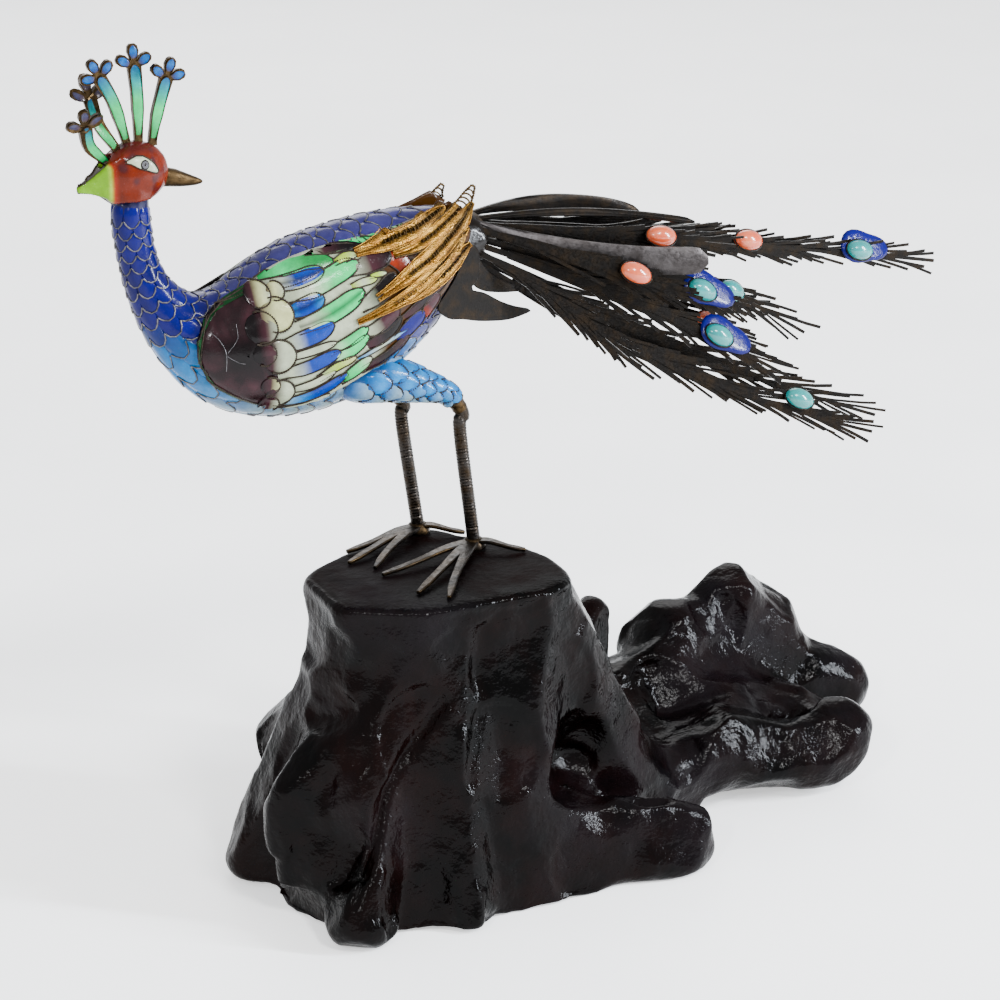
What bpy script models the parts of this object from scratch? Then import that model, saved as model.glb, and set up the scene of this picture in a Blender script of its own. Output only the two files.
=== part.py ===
"""Peacock figurine: an enamelled metal bird that looks back over its tail, on a carved wood rock.

Metres, +Z up. The bird's breast faces -X, its tail runs out along +X and its beak points +X.
The origin is on the rock's underside, below the middle of the two ankles.
"""

import math

import bmesh
import bpy
from mathutils import Matrix, Vector
from mathutils.bvhtree import BVHTree

MM = 0.001
NAME = "peacock_figurine"

# Fits between pieces that touch
GAP = 0.3 * MM

# Carved rock
TOP_HEIGHT = 65.0 * MM
TOP_CENTRE = (-10.0 * MM, -14.4 * MM)
TOP_LENGTH = 49.0 * MM
TOP_WIDTH = 38.5 * MM
TOP_SQUARENESS = 2.3
TOP_CORNER_ANGLE = -38.0
TOP_CORNER_GROWTH = 0.2
FOOT_FLARE = 1.2
FOOT_SHIFT = (3.0 * MM, -2.0 * MM)
ROCK_VOXEL = 1.5 * MM
ROCK_FACES = 1600
# Each root runs down in a bow from (x, y, z, radius) to (x, y, z, radius), all in mm
ROOTS = [
    (-24, -10, 48, 11, -41, 0, 5, 8.5),
    (-29, -3, 30, 9, -37, 1, 17, 8),
    (-24, -22, 46, 9, -34, -35, 5, 8),
    (-12, -27, 44, 9, -13, -37, 4, 7),
    (2, -26, 46, 10, 4, -31, 6, 8),
    (8, -28, 12, 8, 35, -33, 4, 8),
    (12, -21, 52, 10, 30, -17, 17, 9.5),
    (6, -6, 50, 9, 33, 10, 30, 9),
    (-20, -2, 44, 9, -26, 18, 18, 10),
    (-4, 0, 44, 10, -6, 24, 8, 9),
    (26, -16, 12, 9, 60, -10, 11, 9.5),
    (58, -10, 13, 9.5, 81, -14, 10, 9),
    (34, 10, 18, 10, 56, 14, 20, 10),
    (60, 20, 24, 11, 84, 26, 22, 12),
    (86, 24, 15, 11, 104, 20, 7, 9),
    (72, 12, 12, 10, 86, 2, 9, 8),
    (32, -2, 13, 10, 66, 3, 13, 10),
    (70, 30, 14, 12, 84, 40, 8, 9),
]
# Round knobs on the rock: (x, y, z, radius) in mm
KNOBS = [(-38, 0, 17, 6.5), (37, 10, 38, 6), (77, 22, 32, 8.5), (63, 18, 28, 7), (89, 24, 24, 7),
         (56, -12, 17, 7), (84, -13, 12, 9), (41, -31, 5, 6)]
# Hollows carved into the rock: (x, y, z, radius) in mm
HOLLOWS = [(16, -32, 27, 9), (70, -28, 15, 9)]
# Flat cuts of the chisel: (x, y, z) on the cut in mm, and the direction it faces
CUTS = [((-40, -34, 8), (-0.9, 0.1, 0.45)), ((-49, 2, 12), (-0.95, 0.0, 0.25)),
        ((76, 24, 38.5), (-0.12, -0.25, 0.96)), ((45, -32, 4), (0.9, -0.3, 0.3)),
        ((62, 9, 32), (-0.3, -0.8, 0.5)), ((93, 14, 27), (0.5, -0.4, 0.75))]

# Body: stations from the neck's top to the tail's root.
# Each is (x, z above the rock's top, direction of travel in degrees, half height, half width), in mm.
BODY_STATIONS = [
    (-62.4, 77.4, -90, 3.3, 3.3), (-62.8, 74.0, -90, 3.5, 3.4), (-62.3, 68.0, -85, 3.3, 3.2),
    (-61.2, 62.5, -76, 3.5, 3.4), (-59.2, 57.5, -64, 4.4, 4.3), (-55.4, 52.2, -49, 6.2, 5.8),
    (-50.6, 49.2, -29, 9.8, 7.9), (-44.2, 47.6, -13, 14.3, 10.0), (-34.5, 48.2, -4, 17.4, 11.4),
    (-25.0, 49.4, 0, 17.9, 11.8), (-16.0, 52.1, 4, 16.6, 10.8), (-8.0, 55.5, 6, 13.6, 9.0),
    (-2.0, 58.2, 5, 10.4, 7.2), (3.0, 60.6, 3, 6.9, 5.6), (7.0, 61.8, 0, 5.2, 4.8),
]
BODY_SIDES = 24
TAIL_ROOT_X = 7.0 * MM
TAIL_ROOT_Z = 61.8 * MM

# Wings: the upper and lower edges as (x, z above the rock's top) in mm
WING_TOP = [(-53.6, 50.0), (-50.2, 56.4), (-45.0, 58.7), (-36.6, 63.4), (-25.6, 65.7),
            (-15.6, 66.8), (-6.0, 69.4), (4.2, 73.2)]
WING_FOOT = [(-53.6, 47.0), (-51.2, 41.4), (-45.0, 37.8), (-36.0, 34.8), (-25.7, 38.0), (-13.4, 44.6),
             (-5.4, 52.0), (0.4, 58.6), (4.2, 66.0)]
RIGHT_WING_DROP = 1.2 * MM
WING_COLUMNS = 15
WING_ROWS = 8
WING_THICK = 1.0 * MM
WING_CLEAR = 0.65 * MM
WING_NARROWEST = 4.6 * MM
WING_TIPS = 3
WING_NOTCH = 4.0 * MM

# Head, crest and beak, with heights above the rock's top
HEAD_CENTRE = Vector((-61.6 * MM, 0.0, TOP_HEIGHT + 81.5 * MM))
HEAD_LENGTH = 13.0 * MM
HEAD_WIDTH = 9.4 * MM
HEAD_HEIGHT = 11.6 * MM
HEAD_VOXEL = 0.55 * MM
HEAD_FACES = 320
CHIN_Z = TOP_HEIGHT + 76.6 * MM
FLAP_TIP = Vector((-72.0 * MM, 0.0, TOP_HEIGHT + 78.6 * MM))
FLAP_THICK = 2.2 * MM
BEAK_X = -55.6 * MM
BEAK_Z = TOP_HEIGHT + 79.9 * MM
BEAK_LENGTH = 6.6 * MM
BEAK_HEIGHT = 3.6 * MM
BEAK_DROOP = 1.5 * MM
CREST_WIDTH = 2.4 * MM
CREST_THICK = 1.0 * MM
CREST_LOBE = 1.25 * MM
CREST_SPREAD = 1.6 * MM
# Each crest strip's points (x, z above the rock's top) in mm, and how far its tip stands to the side
CREST = [
    ((-57.9, 87.2), (-56.8, 92.6), (-55.2, 99.4), -1.2),
    ((-60.6, 87.8), (-60.4, 94.8), (-60.6, 102.2), 0.8),
    ((-63.0, 87.4), (-65.2, 94.6), (-68.6, 100.6), -1.6),
    ((-65.0, 86.2), (-67.4, 90.4), (-68.0, 95.4), 4.6),
    ((-66.8, 83.8), (-70.2, 87.2), (-71.6, 92.2), -3.6),
]

# Legs: each side's (knee-like hock, ankle) as (x, y, z above the rock's top) in mm
LEG_RADIUS = 1.35 * MM
LEGS = {
    "left": ((-1.2, -6.2, 31.5), (3.0, -6.5, 0.0)),
    "right": ((-8.4, 6.0, 30.6), (-3.6, 6.0, 0.0)),
}
THIGH_START = (-20.0, 5.0, 38.2)
THIGH_RADII = [4.6, 4.6, 4.1, 3.2, 2.3, 1.75]
HOCK_SLOPE = (0.75, 0.0, -0.66)

# Feet: toe tips as (x, y) in mm, with the hind toe last
FOOT_HEIGHT = 2.6 * MM
TOE_RADIUS = 1.5 * MM
CLAW_RADIUS = 0.5 * MM
FOOT_VOXEL = 0.5 * MM
FOOT_FACES = 200
TOES = {
    "left": [(-19.4, -13.1), (-16.9, -24.6), (-12.6, -29.4), (11.4, -12.6)],
    "right": [(-21.0, 1.2), (-22.9, -4.6), (-19.3, -9.2), (4.6, 1.4)],
}

# Tail blades: (root y, z from the tail's root), (tip x, y, z above the rock's top), sag, half width,
# where it is widest, end width share
BLADE_THICK = 0.7 * MM
BLADES = [
    ("tail_blade_1", (0.9, 4.2), (51.5, 5.2, 59.4), 1.9, 1.7, 0.5, 0.12),
    ("tail_blade_2", (-0.9, 4.2), (50.2, -6.2, 61.0), 2.2, 1.4, 0.5, 0.12),
    ("tail_blade_3", (-2.6, 3.0), (51.5, -9.6, 50.6), -0.6, 2.7, 0.72, 0.7),
    ("tail_blade_4", (-2.6, -4.1), (16.5, -10.8, 48.2), -2.4, 2.4, 0.4, 0.1),
    ("tail_blade_5", (-3.0, 0.6), (21.0, -6.4, 50.8), -0.6, 2.0, 0.35, 0.1),
]

# Tail feathers: (root y, z from the tail's root), (tip x, y, z above the rock's top), sag, half width,
# stones as (share, colour, side shift)
FEATHER_THICK = 0.6 * MM
STEM_WIDTH = 1.3 * MM
BARB_WIDTH = 0.8 * MM
BARB_LENGTH = 13.0 * MM
BARBS = 5
# The share of the room between barbs that one fills, and how much each fans out less than the last
BARB_SHARE = 0.75
BARB_FALL = 0.08
FEATHER_BARE = 0.34
STONE_LENGTH = 6.6 * MM
STONE_WIDTH = 4.4 * MM
STONE_HEIGHT = 2.0 * MM
LEAN_PER_MM = 0.5
FAR_SIDE = 12.0 * MM
FEATHERS = [
    ((1.6, 1.8), (118.0, 9.6, 41.4), 0.6, 5.0, [(0.82, "turquoise", 0.4)]),
    ((0.6, 2.8), (90.5, 6.4, 47.2), 0.4, 3.6, [(0.75, "coral", 0.4)]),
    ((2.4, 3.2), (72.0, 14.6, 50.7), 0.2, 3.6, []),
    ((-0.6, 2.6), (62.5, -2.8, 54.0), 0.0, 3.4, [(0.70, "coral", 0.3)]),
    ((-3.6, 2.2), (47.0, -13.8, 47.4), 0.6, 4.0, [(0.72, "coral", 0.6)]),
    ((-2.0, 1.2), (63.0, -7.4, 40.8), 2.6, 4.0, [(0.82, "turquoise", 0.2)]),
    ((2.2, 0.2), (87.5, 11.0, 29.0), 5.0, 4.6, [(0.76, "turquoise", 0.2)]),
    ((-0.6, 0.0), (70.0, -1.4, 30.4), 2.0, 4.4, [(0.80, "coral", 0.0)]),
    ((-2.2, -1.0), (71.0, -11.0, 27.8), 1.8, 4.6, [(0.76, "turquoise", 0.4)]),
    ((-1.4, -4.4), (90.0, -13.2, 14.0), -4.0, 4.8, [(0.78, "turquoise", 0.0)]),
    ((-0.2, -3.6), (96.0, -4.6, 14.2), -2.4, 5.0, []),
    ((3.4, 1.4), (50.0, 12.8, 54.4), 1.0, 3.4, [(0.62, "turquoise", 0.4)]),
    ((-4.2, -2.3), (32.0, -16.4, 38.6), 1.4, 4.2, []),
    ((3.4, -0.6), (80.0, 14.2, 33.0), 1.0, 4.6, [(0.8, "coral", 0.0)]),
    ((3.0, -2.8), (66.0, 16.4, 23.0), 0.0, 4.6, [(0.8, "turquoise", 0.0)]),
]


def clear_scene():
    """Remove every object, so that the model starts from nothing."""
    for item in list(bpy.data.objects):
        bpy.data.objects.remove(item)


def collection(name):
    """A collection of this name in the scene."""
    group = bpy.data.collections.new(name)
    bpy.context.scene.collection.children.link(group)
    return group


def material(name, colour, roughness, metallic):
    """A plain Principled material."""
    made = bpy.data.materials.new(name)
    made.use_nodes = True
    shader = made.node_tree.nodes["Principled BSDF"]
    shader.inputs["Base Color"].default_value = (*colour, 1.0)
    shader.inputs["Roughness"].default_value = roughness
    shader.inputs["Metallic"].default_value = metallic
    return made


def mm(*values):
    """A point given in millimetres."""
    return Vector(values) * MM


def above_top(x, y, z):
    """A point given in millimetres, with its height above the rock's top."""
    return Vector((x * MM, y * MM, TOP_HEIGHT + z * MM))


def add(group, name, mesh, finish):
    """Put a mesh in the collection as a named object with its material."""
    mesh.materials.clear()
    mesh.materials.append(finish)
    item = bpy.data.objects.new(name, mesh)
    group.objects.link(item)
    return item


def mesh_from(name, work):
    """Turn a bmesh into a mesh with its faces pointing out."""
    bmesh.ops.recalc_face_normals(work, faces=work.faces)
    if work.calc_volume(signed=True) < 0.0:
        bmesh.ops.reverse_faces(work, faces=work.faces)
    mesh = bpy.data.meshes.new(name)
    work.to_mesh(mesh)
    work.free()
    return mesh


def loft(name, rings):
    """A closed solid through rings that have equal numbers of points."""
    work = bmesh.new()
    rows = [[work.verts.new(point) for point in ring] for ring in rings]
    count = len(rows[0])
    for lower, upper in zip(rows, rows[1:]):
        for i in range(count):
            j = (i + 1) % count
            work.faces.new((lower[i], lower[j], upper[j], upper[i]))
    work.faces.new(rows[0])
    work.faces.new(rows[-1])
    bmesh.ops.triangulate(work, faces=[face for face in work.faces if len(face.verts) > 4])
    return mesh_from(name, work)


def evaluated(item):
    """The item's mesh as its modifiers leave it, in world space."""
    bpy.context.view_layer.update()
    graph = bpy.context.evaluated_depsgraph_get()
    mesh = bpy.data.meshes.new_from_object(item.evaluated_get(graph))
    mesh.transform(item.matrix_world)
    return mesh


def apply(item):
    """Replace the item's mesh by its evaluated one and drop its modifiers."""
    mesh = evaluated(item)
    item.modifiers.clear()
    item.data = mesh
    return item


def boolean(item, cutter_mesh, cutters, operation="DIFFERENCE"):
    """Cut the item by a mesh, or join it to one, and keep the cutter aside."""
    tool = bpy.data.objects.new(item.name + "_tool", cutter_mesh)
    cutters.objects.link(tool)
    tool.hide_render = True
    tool.display_type = "WIRE"
    change = item.modifiers.new("cut", "BOOLEAN")
    change.operation = operation
    change.solver = "EXACT"
    change.object = tool
    return apply(item)


def ball(centre, radius, segments=12, rings=8, scale=(1, 1, 1)):
    """A sphere's mesh, stretched by scale."""
    work = bmesh.new()
    bmesh.ops.create_uvsphere(work, u_segments=segments, v_segments=rings, radius=radius)
    bmesh.ops.scale(work, vec=scale, verts=work.verts)
    bmesh.ops.translate(work, vec=centre, verts=work.verts)
    return mesh_from("ball", work)


def block(centre, size, facing=(0, 0, 1)):
    """A box's mesh, whose top faces the given way."""
    work = bmesh.new()
    bmesh.ops.create_cube(work, size=1.0)
    bmesh.ops.scale(work, vec=size, verts=work.verts)
    turn = Vector((0, 0, 1)).rotation_difference(Vector(facing)).to_matrix().to_4x4()
    bmesh.ops.transform(work, matrix=Matrix.Translation(centre) @ turn, verts=work.verts)
    return mesh_from("block", work)


def tube(points, radii, sides=2):
    """The mesh of a round bar through points, with a radius at each and filled ends."""
    curve = bpy.data.curves.new("tube", "CURVE")
    curve.dimensions = "3D"
    curve.bevel_depth = 1.0
    curve.bevel_resolution = sides
    curve.use_fill_caps = True
    line = curve.splines.new("POLY")
    line.points.add(len(points) - 1)
    for spot, point, radius in zip(line.points, points, radii):
        spot.co = (*point, 1.0)
        spot.radius = radius
    item = bpy.data.objects.new("tube", curve)
    bpy.context.scene.collection.objects.link(item)
    mesh = evaluated(item)
    bpy.data.objects.remove(item)
    work = bmesh.new()
    work.from_mesh(mesh)
    bmesh.ops.remove_doubles(work, verts=work.verts, dist=0.01 * MM)
    return mesh_from("tube", work)


def bow(start, end, lift, steps):
    """Points from start to end on a line that bows upward by lift at its middle."""
    spots = []
    for i in range(steps + 1):
        t = i / steps
        spots.append(start.lerp(end, t) + Vector((0, 0, 4.0 * lift * t * (1.0 - t))))
    return spots


def smooth_line(points, steps):
    """A smooth line through hand-set points, as Catmull-Rom stretches."""
    ends = [points[0] * 2 - points[1]] + points + [points[-1] * 2 - points[-2]]
    spots = []
    for a, b, c, d in zip(ends, ends[1:], ends[2:], ends[3:]):
        for i in range(steps):
            t = i / steps
            spots.append(0.5 * (2 * b + (c - a) * t + (2 * a - 5 * b + 4 * c - d) * t * t
                                + (3 * b - a - 3 * c + d) * t ** 3))
    spots.append(points[-1])
    return spots


def fuse(group, name, meshes, voxel, faces, finish, smoothing=4):
    """Melt meshes into one closed skin and thin it to about the given number of triangles."""
    work = bmesh.new()
    for mesh in meshes:
        work.from_mesh(mesh)
    item = add(group, name, mesh_from(name, work), finish)
    melt = item.modifiers.new("melt", "REMESH")
    melt.mode = "VOXEL"
    melt.voxel_size = voxel
    soften = item.modifiers.new("soften", "SMOOTH")
    soften.iterations = smoothing
    apply(item)
    thin = item.modifiers.new("thin", "DECIMATE")
    thin.ratio = faces / (2.0 * len(item.data.polygons))
    return apply(item)


def plate_frame(points, i, lean):
    """The along, across and outward directions of a tail plate at one of its points."""
    along = (points[min(i + 1, len(points) - 1)] - points[max(i - 1, 0)]).normalized()
    out = Vector((0.0, -math.cos(lean), math.sin(lean)))
    across = out.cross(along).normalized()
    return along, across, along.cross(across).normalized()


def lean_at(y):
    """How far a tail plate leans at this distance from the bird's middle, in radians."""
    return math.radians(-LEAN_PER_MM * y / MM)


def seat_on_body(point):
    """Keep a tail plate's root just behind the body's end."""
    return Vector((max(point.x, TAIL_ROOT_X + GAP), point.y, point.z))


def bent_plate(outline, thick, points, length, lean):
    """A flat outline given a thickness and bent to follow a line of points."""
    steps = len(points) - 1
    work = bmesh.new()
    face = work.faces.new([work.verts.new((a, b, 0.0)) for a, b in outline])
    bmesh.ops.triangulate(work, faces=[face])
    raised = bmesh.ops.extrude_face_region(work, geom=work.faces[:])
    top = [item for item in raised["geom"] if isinstance(item, bmesh.types.BMVert)]
    bmesh.ops.translate(work, vec=(0, 0, thick), verts=top)
    for vert in work.verts:
        share = min(max(vert.co.x / length, 0.0), 1.0) * steps
        low = min(int(share), steps - 1)
        spot = points[low].lerp(points[low + 1], share - low)
        along, across, out = plate_frame(points, low, lean)
        past = max(0.0, vert.co.x - length)
        vert.co = spot + along * past + across * vert.co.y + out * (vert.co.z - thick / 2)
    return mesh_from("plate", work)


def rock_ring(height, share, shift=(0.0, 0.0)):
    """The outline of the rock's top, grown by share and shifted, at a height."""
    ring = []
    for i in range(40):
        angle = 2.0 * math.pi * i / 40
        turn = math.degrees(angle) - TOP_CORNER_ANGLE
        turn = (turn + 180.0) % 360.0 - 180.0
        flute = 1.0 + 0.03 * math.cos(7 * angle) + TOP_CORNER_GROWTH * math.exp(-(turn / 24.0) ** 2)
        reach = (abs(math.cos(angle)) ** TOP_SQUARENESS
                 + abs(math.sin(angle)) ** TOP_SQUARENESS) ** (-1 / TOP_SQUARENESS) * flute * share
        ring.append(Vector((TOP_CENTRE[0] + shift[0] + 0.5 * TOP_LENGTH * reach * math.cos(angle),
                            TOP_CENTRE[1] + shift[1] + 0.5 * TOP_WIDTH * reach * math.sin(angle), height)))
    return ring


def build_rock(group, cutters, finish):
    """The rock: a stump with roots, a long arm and a rear mound, carved from one block."""
    foot = rock_ring(-4.0 * MM, FOOT_FLARE, FOOT_SHIFT)
    waist = rock_ring(0.62 * TOP_HEIGHT, 0.98)
    meshes = [loft("stump", [foot, waist, rock_ring(TOP_HEIGHT + 3.0 * MM, 1.0)])]
    for x0, y0, z0, r0, x1, y1, z1, r1 in ROOTS:
        points = bow(mm(x0, y0, z0), mm(x1, y1, z1), -1.5 * MM, 6)
        radii = [(r0 + (r1 - r0) * i / 6) * MM for i in range(7)]
        meshes.append(tube(points, radii))
        meshes.append(ball(points[0], radii[0]))
        meshes.append(ball(points[-1], radii[-1]))
    for x, y, z, radius in KNOBS:
        meshes.append(ball(mm(x, y, z), radius * MM))
    rock = fuse(group, "stand", meshes, ROCK_VOXEL, ROCK_FACES, finish, 12)
    for x, y, z, radius in HOLLOWS:
        boolean(rock, ball(mm(x, y, z), radius * MM, 14, 9), cutters)
    slab = 0.4
    for spot, facing in CUTS:
        way = Vector(facing).normalized()
        boolean(rock, block(mm(*spot) + way * 0.02, (0.03, 0.03, 0.04), way), cutters)
    boolean(rock, block(Vector((0, 0, TOP_HEIGHT + slab / 2)), (slab, slab, slab)), cutters)
    boolean(rock, block(Vector((0, 0, -slab / 2)), (slab, slab, slab)), cutters)
    return rock


def body_rings(grow):
    """The body's rings from neck to tail root, each grown by the same amount."""
    rings = []
    for x, z, course, high, wide in BODY_STATIONS:
        turn = math.radians(course)
        centre = Vector((x * MM, 0.0, TOP_HEIGHT + z * MM))
        normal = Vector((-math.sin(turn), 0.0, math.cos(turn)))
        ring = []
        for i in range(BODY_SIDES):
            angle = 2.0 * math.pi * i / BODY_SIDES
            ring.append(centre + normal * (high * MM + grow) * math.cos(angle)
                        + Vector((0.0, (wide * MM + grow) * math.sin(angle), 0.0)))
        rings.append(ring)
    return rings


def body_surface(grow=0.0):
    """The body's surface as a tree to cast rays at."""
    work = bmesh.new()
    work.from_mesh(loft("body_guide", body_rings(grow)))
    return BVHTree.FromBMesh(work)


def edge_height(points, x):
    """The height of a wing's edge at x, smoothly through its points."""
    line = smooth_line([Vector((a, b)) for a, b in points], 6)
    for low, high in zip(line, line[1:]):
        if low.x * MM <= x <= high.x * MM:
            share = (x - low.x * MM) / max((high.x - low.x) * MM, 1e-9)
            return TOP_HEIGHT + (low.y + (high.y - low.y) * share) * MM
    return TOP_HEIGHT + (line[0].y if x < line[0].x * MM else line[-1].y) * MM


def flank(surface, x, z):
    """How far out the body's flank lies at a place, with a floor where the wing runs past it."""
    hit = surface.ray_cast(Vector((x, -0.1, z)), Vector((0, 1, 0)))[0]
    side = -hit.y if hit and hit.y < 0 else 0.0
    floor = WING_NARROWEST
    return max(side, floor)


def build_wing(group, side, surface, finish):
    """A wing: a thin shell that wraps the flank and ends in pointed tips over the tail's root."""
    front, rear = WING_TOP[0][0] * MM, WING_TOP[-1][0] * MM
    sheets = ([], [])
    for i in range(WING_COLUMNS + 1):
        u = i / WING_COLUMNS
        x = front + (rear - front) * (0.5 - 0.5 * math.cos(math.pi * min(u, 0.5)) if u < 0.5 else u)
        low = edge_height(WING_FOOT, x)
        high = edge_height(WING_TOP, x) - (RIGHT_WING_DROP if side > 0 else 0.0)
        for j in range(WING_ROWS + 1):
            v = j / WING_ROWS
            z = low + (high - low) * v
            notch = WING_NOTCH * (0.5 - 0.5 * math.cos(2 * math.pi * WING_TIPS * v)) * max(0.0, u - 0.7) / 0.3
            inner = flank(surface, x - notch, z) + WING_CLEAR
            sheets[0].append(Vector((x - notch, side * inner, z)))
            sheets[1].append(Vector((x - notch, side * (inner + WING_THICK), z)))
    work = bmesh.new()
    inside = [work.verts.new(point) for point in sheets[0]]
    outside = [work.verts.new(point) for point in sheets[1]]
    step = WING_ROWS + 1
    for i in range(WING_COLUMNS):
        for j in range(WING_ROWS):
            a, b, c, d = i * step + j, (i + 1) * step + j, (i + 1) * step + j + 1, i * step + j + 1
            work.faces.new((inside[a], inside[b], inside[c], inside[d]))
            work.faces.new((outside[a], outside[d], outside[c], outside[b]))
    rim = [i * step for i in range(WING_COLUMNS + 1)]
    rim += [WING_COLUMNS * step + j for j in range(1, step)]
    rim += [i * step + WING_ROWS for i in range(WING_COLUMNS - 1, -1, -1)]
    rim += [j for j in range(WING_ROWS - 1, 0, -1)]
    for a, b in zip(rim, rim[1:] + rim[:1]):
        work.faces.new((inside[a], outside[a], outside[b], inside[b]))
    name = "wing_left" if side < 0 else "wing_right"
    return add(group, name, mesh_from(name, work), finish)


def build_head(group, cutters, finish):
    """The head: a cap over the neck's top, with a flap behind and flat seats for beak and crest."""
    size = Vector((HEAD_LENGTH, HEAD_WIDTH, HEAD_HEIGHT)) / 2
    dome = ball(HEAD_CENTRE, 1.0, 16, 12, size)
    neck_x = BODY_STATIONS[0][0] * MM
    cap = tube([Vector((neck_x, 0, CHIN_Z)), HEAD_CENTRE + mm(-1.2, 0, 0)], [4.7 * MM, 4.2 * MM], 3)
    flap_root = HEAD_CENTRE + mm(-3.0, 0, -0.6)
    flap = [Vector((FLAP_TIP.x, y, z)) for y, z in ((-0.4, -2.0), (0.4, -2.0), (0.4, 2.4), (-0.4, 2.4))]
    flap = [Vector((p.x, p.y * FLAP_THICK, FLAP_TIP.z + p.z * MM)) for p in flap]
    root = [flap_root + Vector((0, y * FLAP_THICK, z * MM))
            for y, z in ((-1.6, -3.6), (1.6, -3.6), (1.6, 4.8), (-1.6, 4.8))]
    head = fuse(group, "head", [dome, cap, loft("flap", [flap, root])], HEAD_VOXEL, HEAD_FACES, finish, 3)
    neck_top = TOP_HEIGHT + BODY_STATIONS[0][1] * MM
    bore = BODY_STATIONS[1][3] * MM + GAP + 0.1 * MM
    boolean(head, tube([Vector((neck_x - 0.2 * MM, 0, CHIN_Z - 9 * MM)),
                        Vector((neck_x - 0.2 * MM, 0, neck_top + GAP))], [bore, bore], 4), cutters)
    boolean(head, block(Vector((BEAK_X + 5 * MM, 0, BEAK_Z)), (10 * MM, 12 * MM, 9 * MM)), cutters)
    for base, middle, _, _ in CREST:
        way = Vector((middle[0] - base[0], 0, middle[1] - base[1])).normalized()
        seat = above_top(base[0], 0, base[1]) - way * GAP
        boolean(head, block(seat + way * 2.0 * MM, (CREST_WIDTH + GAP, CREST_WIDTH, 4.0 * MM), way), cutters)
    return head


def build_beak(group, finish):
    """The beak: a short round cone that droops a little."""
    rings = []
    for i in range(6):
        t = i / 5
        radius = 0.5 * BEAK_HEIGHT * max(0.12, math.sqrt(1.0 - t ** 1.5))
        centre = Vector((BEAK_X + GAP + BEAK_LENGTH * t, 0.0, BEAK_Z - BEAK_DROOP * t ** 1.3))
        rings.append([centre + Vector((0.0, 0.8 * radius * math.cos(a), radius * math.sin(a)))
                      for a in (2 * math.pi * k / 8 for k in range(8))])
    return add(group, "beak", loft("beak", rings), finish)


def arc(centre, radius, first, last, steps):
    """Points along an arc, from one angle to another, in degrees."""
    spots = []
    for i in range(steps + 1):
        angle = math.radians(first + (last - first) * i / steps)
        spots.append((centre[0] + radius * math.cos(angle), centre[1] + radius * math.sin(angle)))
    return spots


def crest_outline(length):
    """A crest feather laid flat: a strip that ends in three round lobes."""
    half = CREST_WIDTH / 2
    side = [(0.0, 0.8 * half), (length / 3, half), (2 * length / 3, half)]
    side += arc((length - 0.6 * CREST_LOBE, CREST_SPREAD), CREST_LOBE, 200, 20, 4)
    side += arc((length + 0.7 * CREST_LOBE, 0.0), CREST_LOBE, 100, 20, 2)
    return side + [(along, -across) for along, across in reversed(side)]


def build_crest(group, number, base, middle, tip, aside, finish):
    """One crest feather: a thin strip, bent back in a curve."""
    points = smooth_line([above_top(base[0], 0, base[1]), above_top(middle[0], 0.4 * aside, middle[1]),
                          above_top(tip[0], aside, tip[1])], 4)
    length = sum((b - a).length for a, b in zip(points, points[1:]))
    mesh = bent_plate(crest_outline(length), CREST_THICK, points, length, 0.0)
    return add(group, "crest_%d" % number, mesh, finish)


def build_leg(group, cutters, label, finish_thigh, finish_leg):
    """A thigh that tapers from the body to the hock, and the wire leg below it."""
    side = -1 if label == "left" else 1
    hock, ankle = (above_top(*spot) for spot in LEGS[label])
    slope = Vector(HOCK_SLOPE).normalized()
    start = above_top(THIGH_START[0], side * THIGH_START[1], THIGH_START[2])
    bend = hock - slope * 3.0 * MM
    axis = smooth_line([start, start.lerp(bend, 0.5) + mm(0, 0, 0.6), bend, hock], 2)
    shares = [i / (len(axis) - 1) * (len(THIGH_RADII) - 1) for i in range(len(axis))]
    radii = []
    for share in shares:
        low = min(int(share), len(THIGH_RADII) - 2)
        radii.append((THIGH_RADII[low] + (THIGH_RADII[low + 1] - THIGH_RADII[low]) * (share - low)) * MM)
    thigh = add(group, "thigh_" + label, tube(axis, radii, 3), finish_thigh)
    boolean(thigh, loft("body_room", body_rings(GAP)), cutters)
    foot_top = Vector((ankle.x, ankle.y, TOP_HEIGHT + GAP + FOOT_HEIGHT + GAP))
    shank = foot_top.lerp(hock, 0.8) + mm(0.3, 0, 0)
    first = hock + slope * 2.0 * GAP
    line = [first, first + slope * 1.0 * MM] + smooth_line([first + slope * 1.6 * MM + mm(0.2, 0, -0.9),
                                                           shank, foot_top], 4)
    add(group, "leg_" + label, tube(line, [LEG_RADIUS] * len(line), 2), finish_leg)


def build_foot(group, cutters, label, finish):
    """A foot: three long toes in front and a short one behind, flat on the rock."""
    ankle = above_top(*LEGS[label][1])
    ground = TOP_HEIGHT + GAP
    hub = Vector((ankle.x, ankle.y, ground + 0.6 * MM))
    meshes = [ball(hub, 2.4 * MM, 12, 8), tube([hub, hub + mm(0, 0, 3)], [2.2 * MM, 2.0 * MM], 3)]
    for x, y in TOES[label]:
        tip = Vector((x * MM, y * MM, ground + 0.2 * MM))
        points = bow(hub + mm(0, 0, 0.6), tip, 0.9 * MM, 5)
        radii = [TOE_RADIUS + (CLAW_RADIUS - TOE_RADIUS) * (i / 5) ** 1.6 for i in range(6)]
        meshes.append(tube(points, radii, 2))
    foot = fuse(group, "foot_" + label, meshes, FOOT_VOXEL, FOOT_FACES, finish, 1)
    slab = 0.1
    boolean(foot, block(Vector((0, 0, ground - slab / 2)), (slab, slab, slab)), cutters)
    top = ground + FOOT_HEIGHT + slab / 2
    boolean(foot, block(Vector((0, 0, top)), (slab, slab, slab)), cutters)
    return foot


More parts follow.
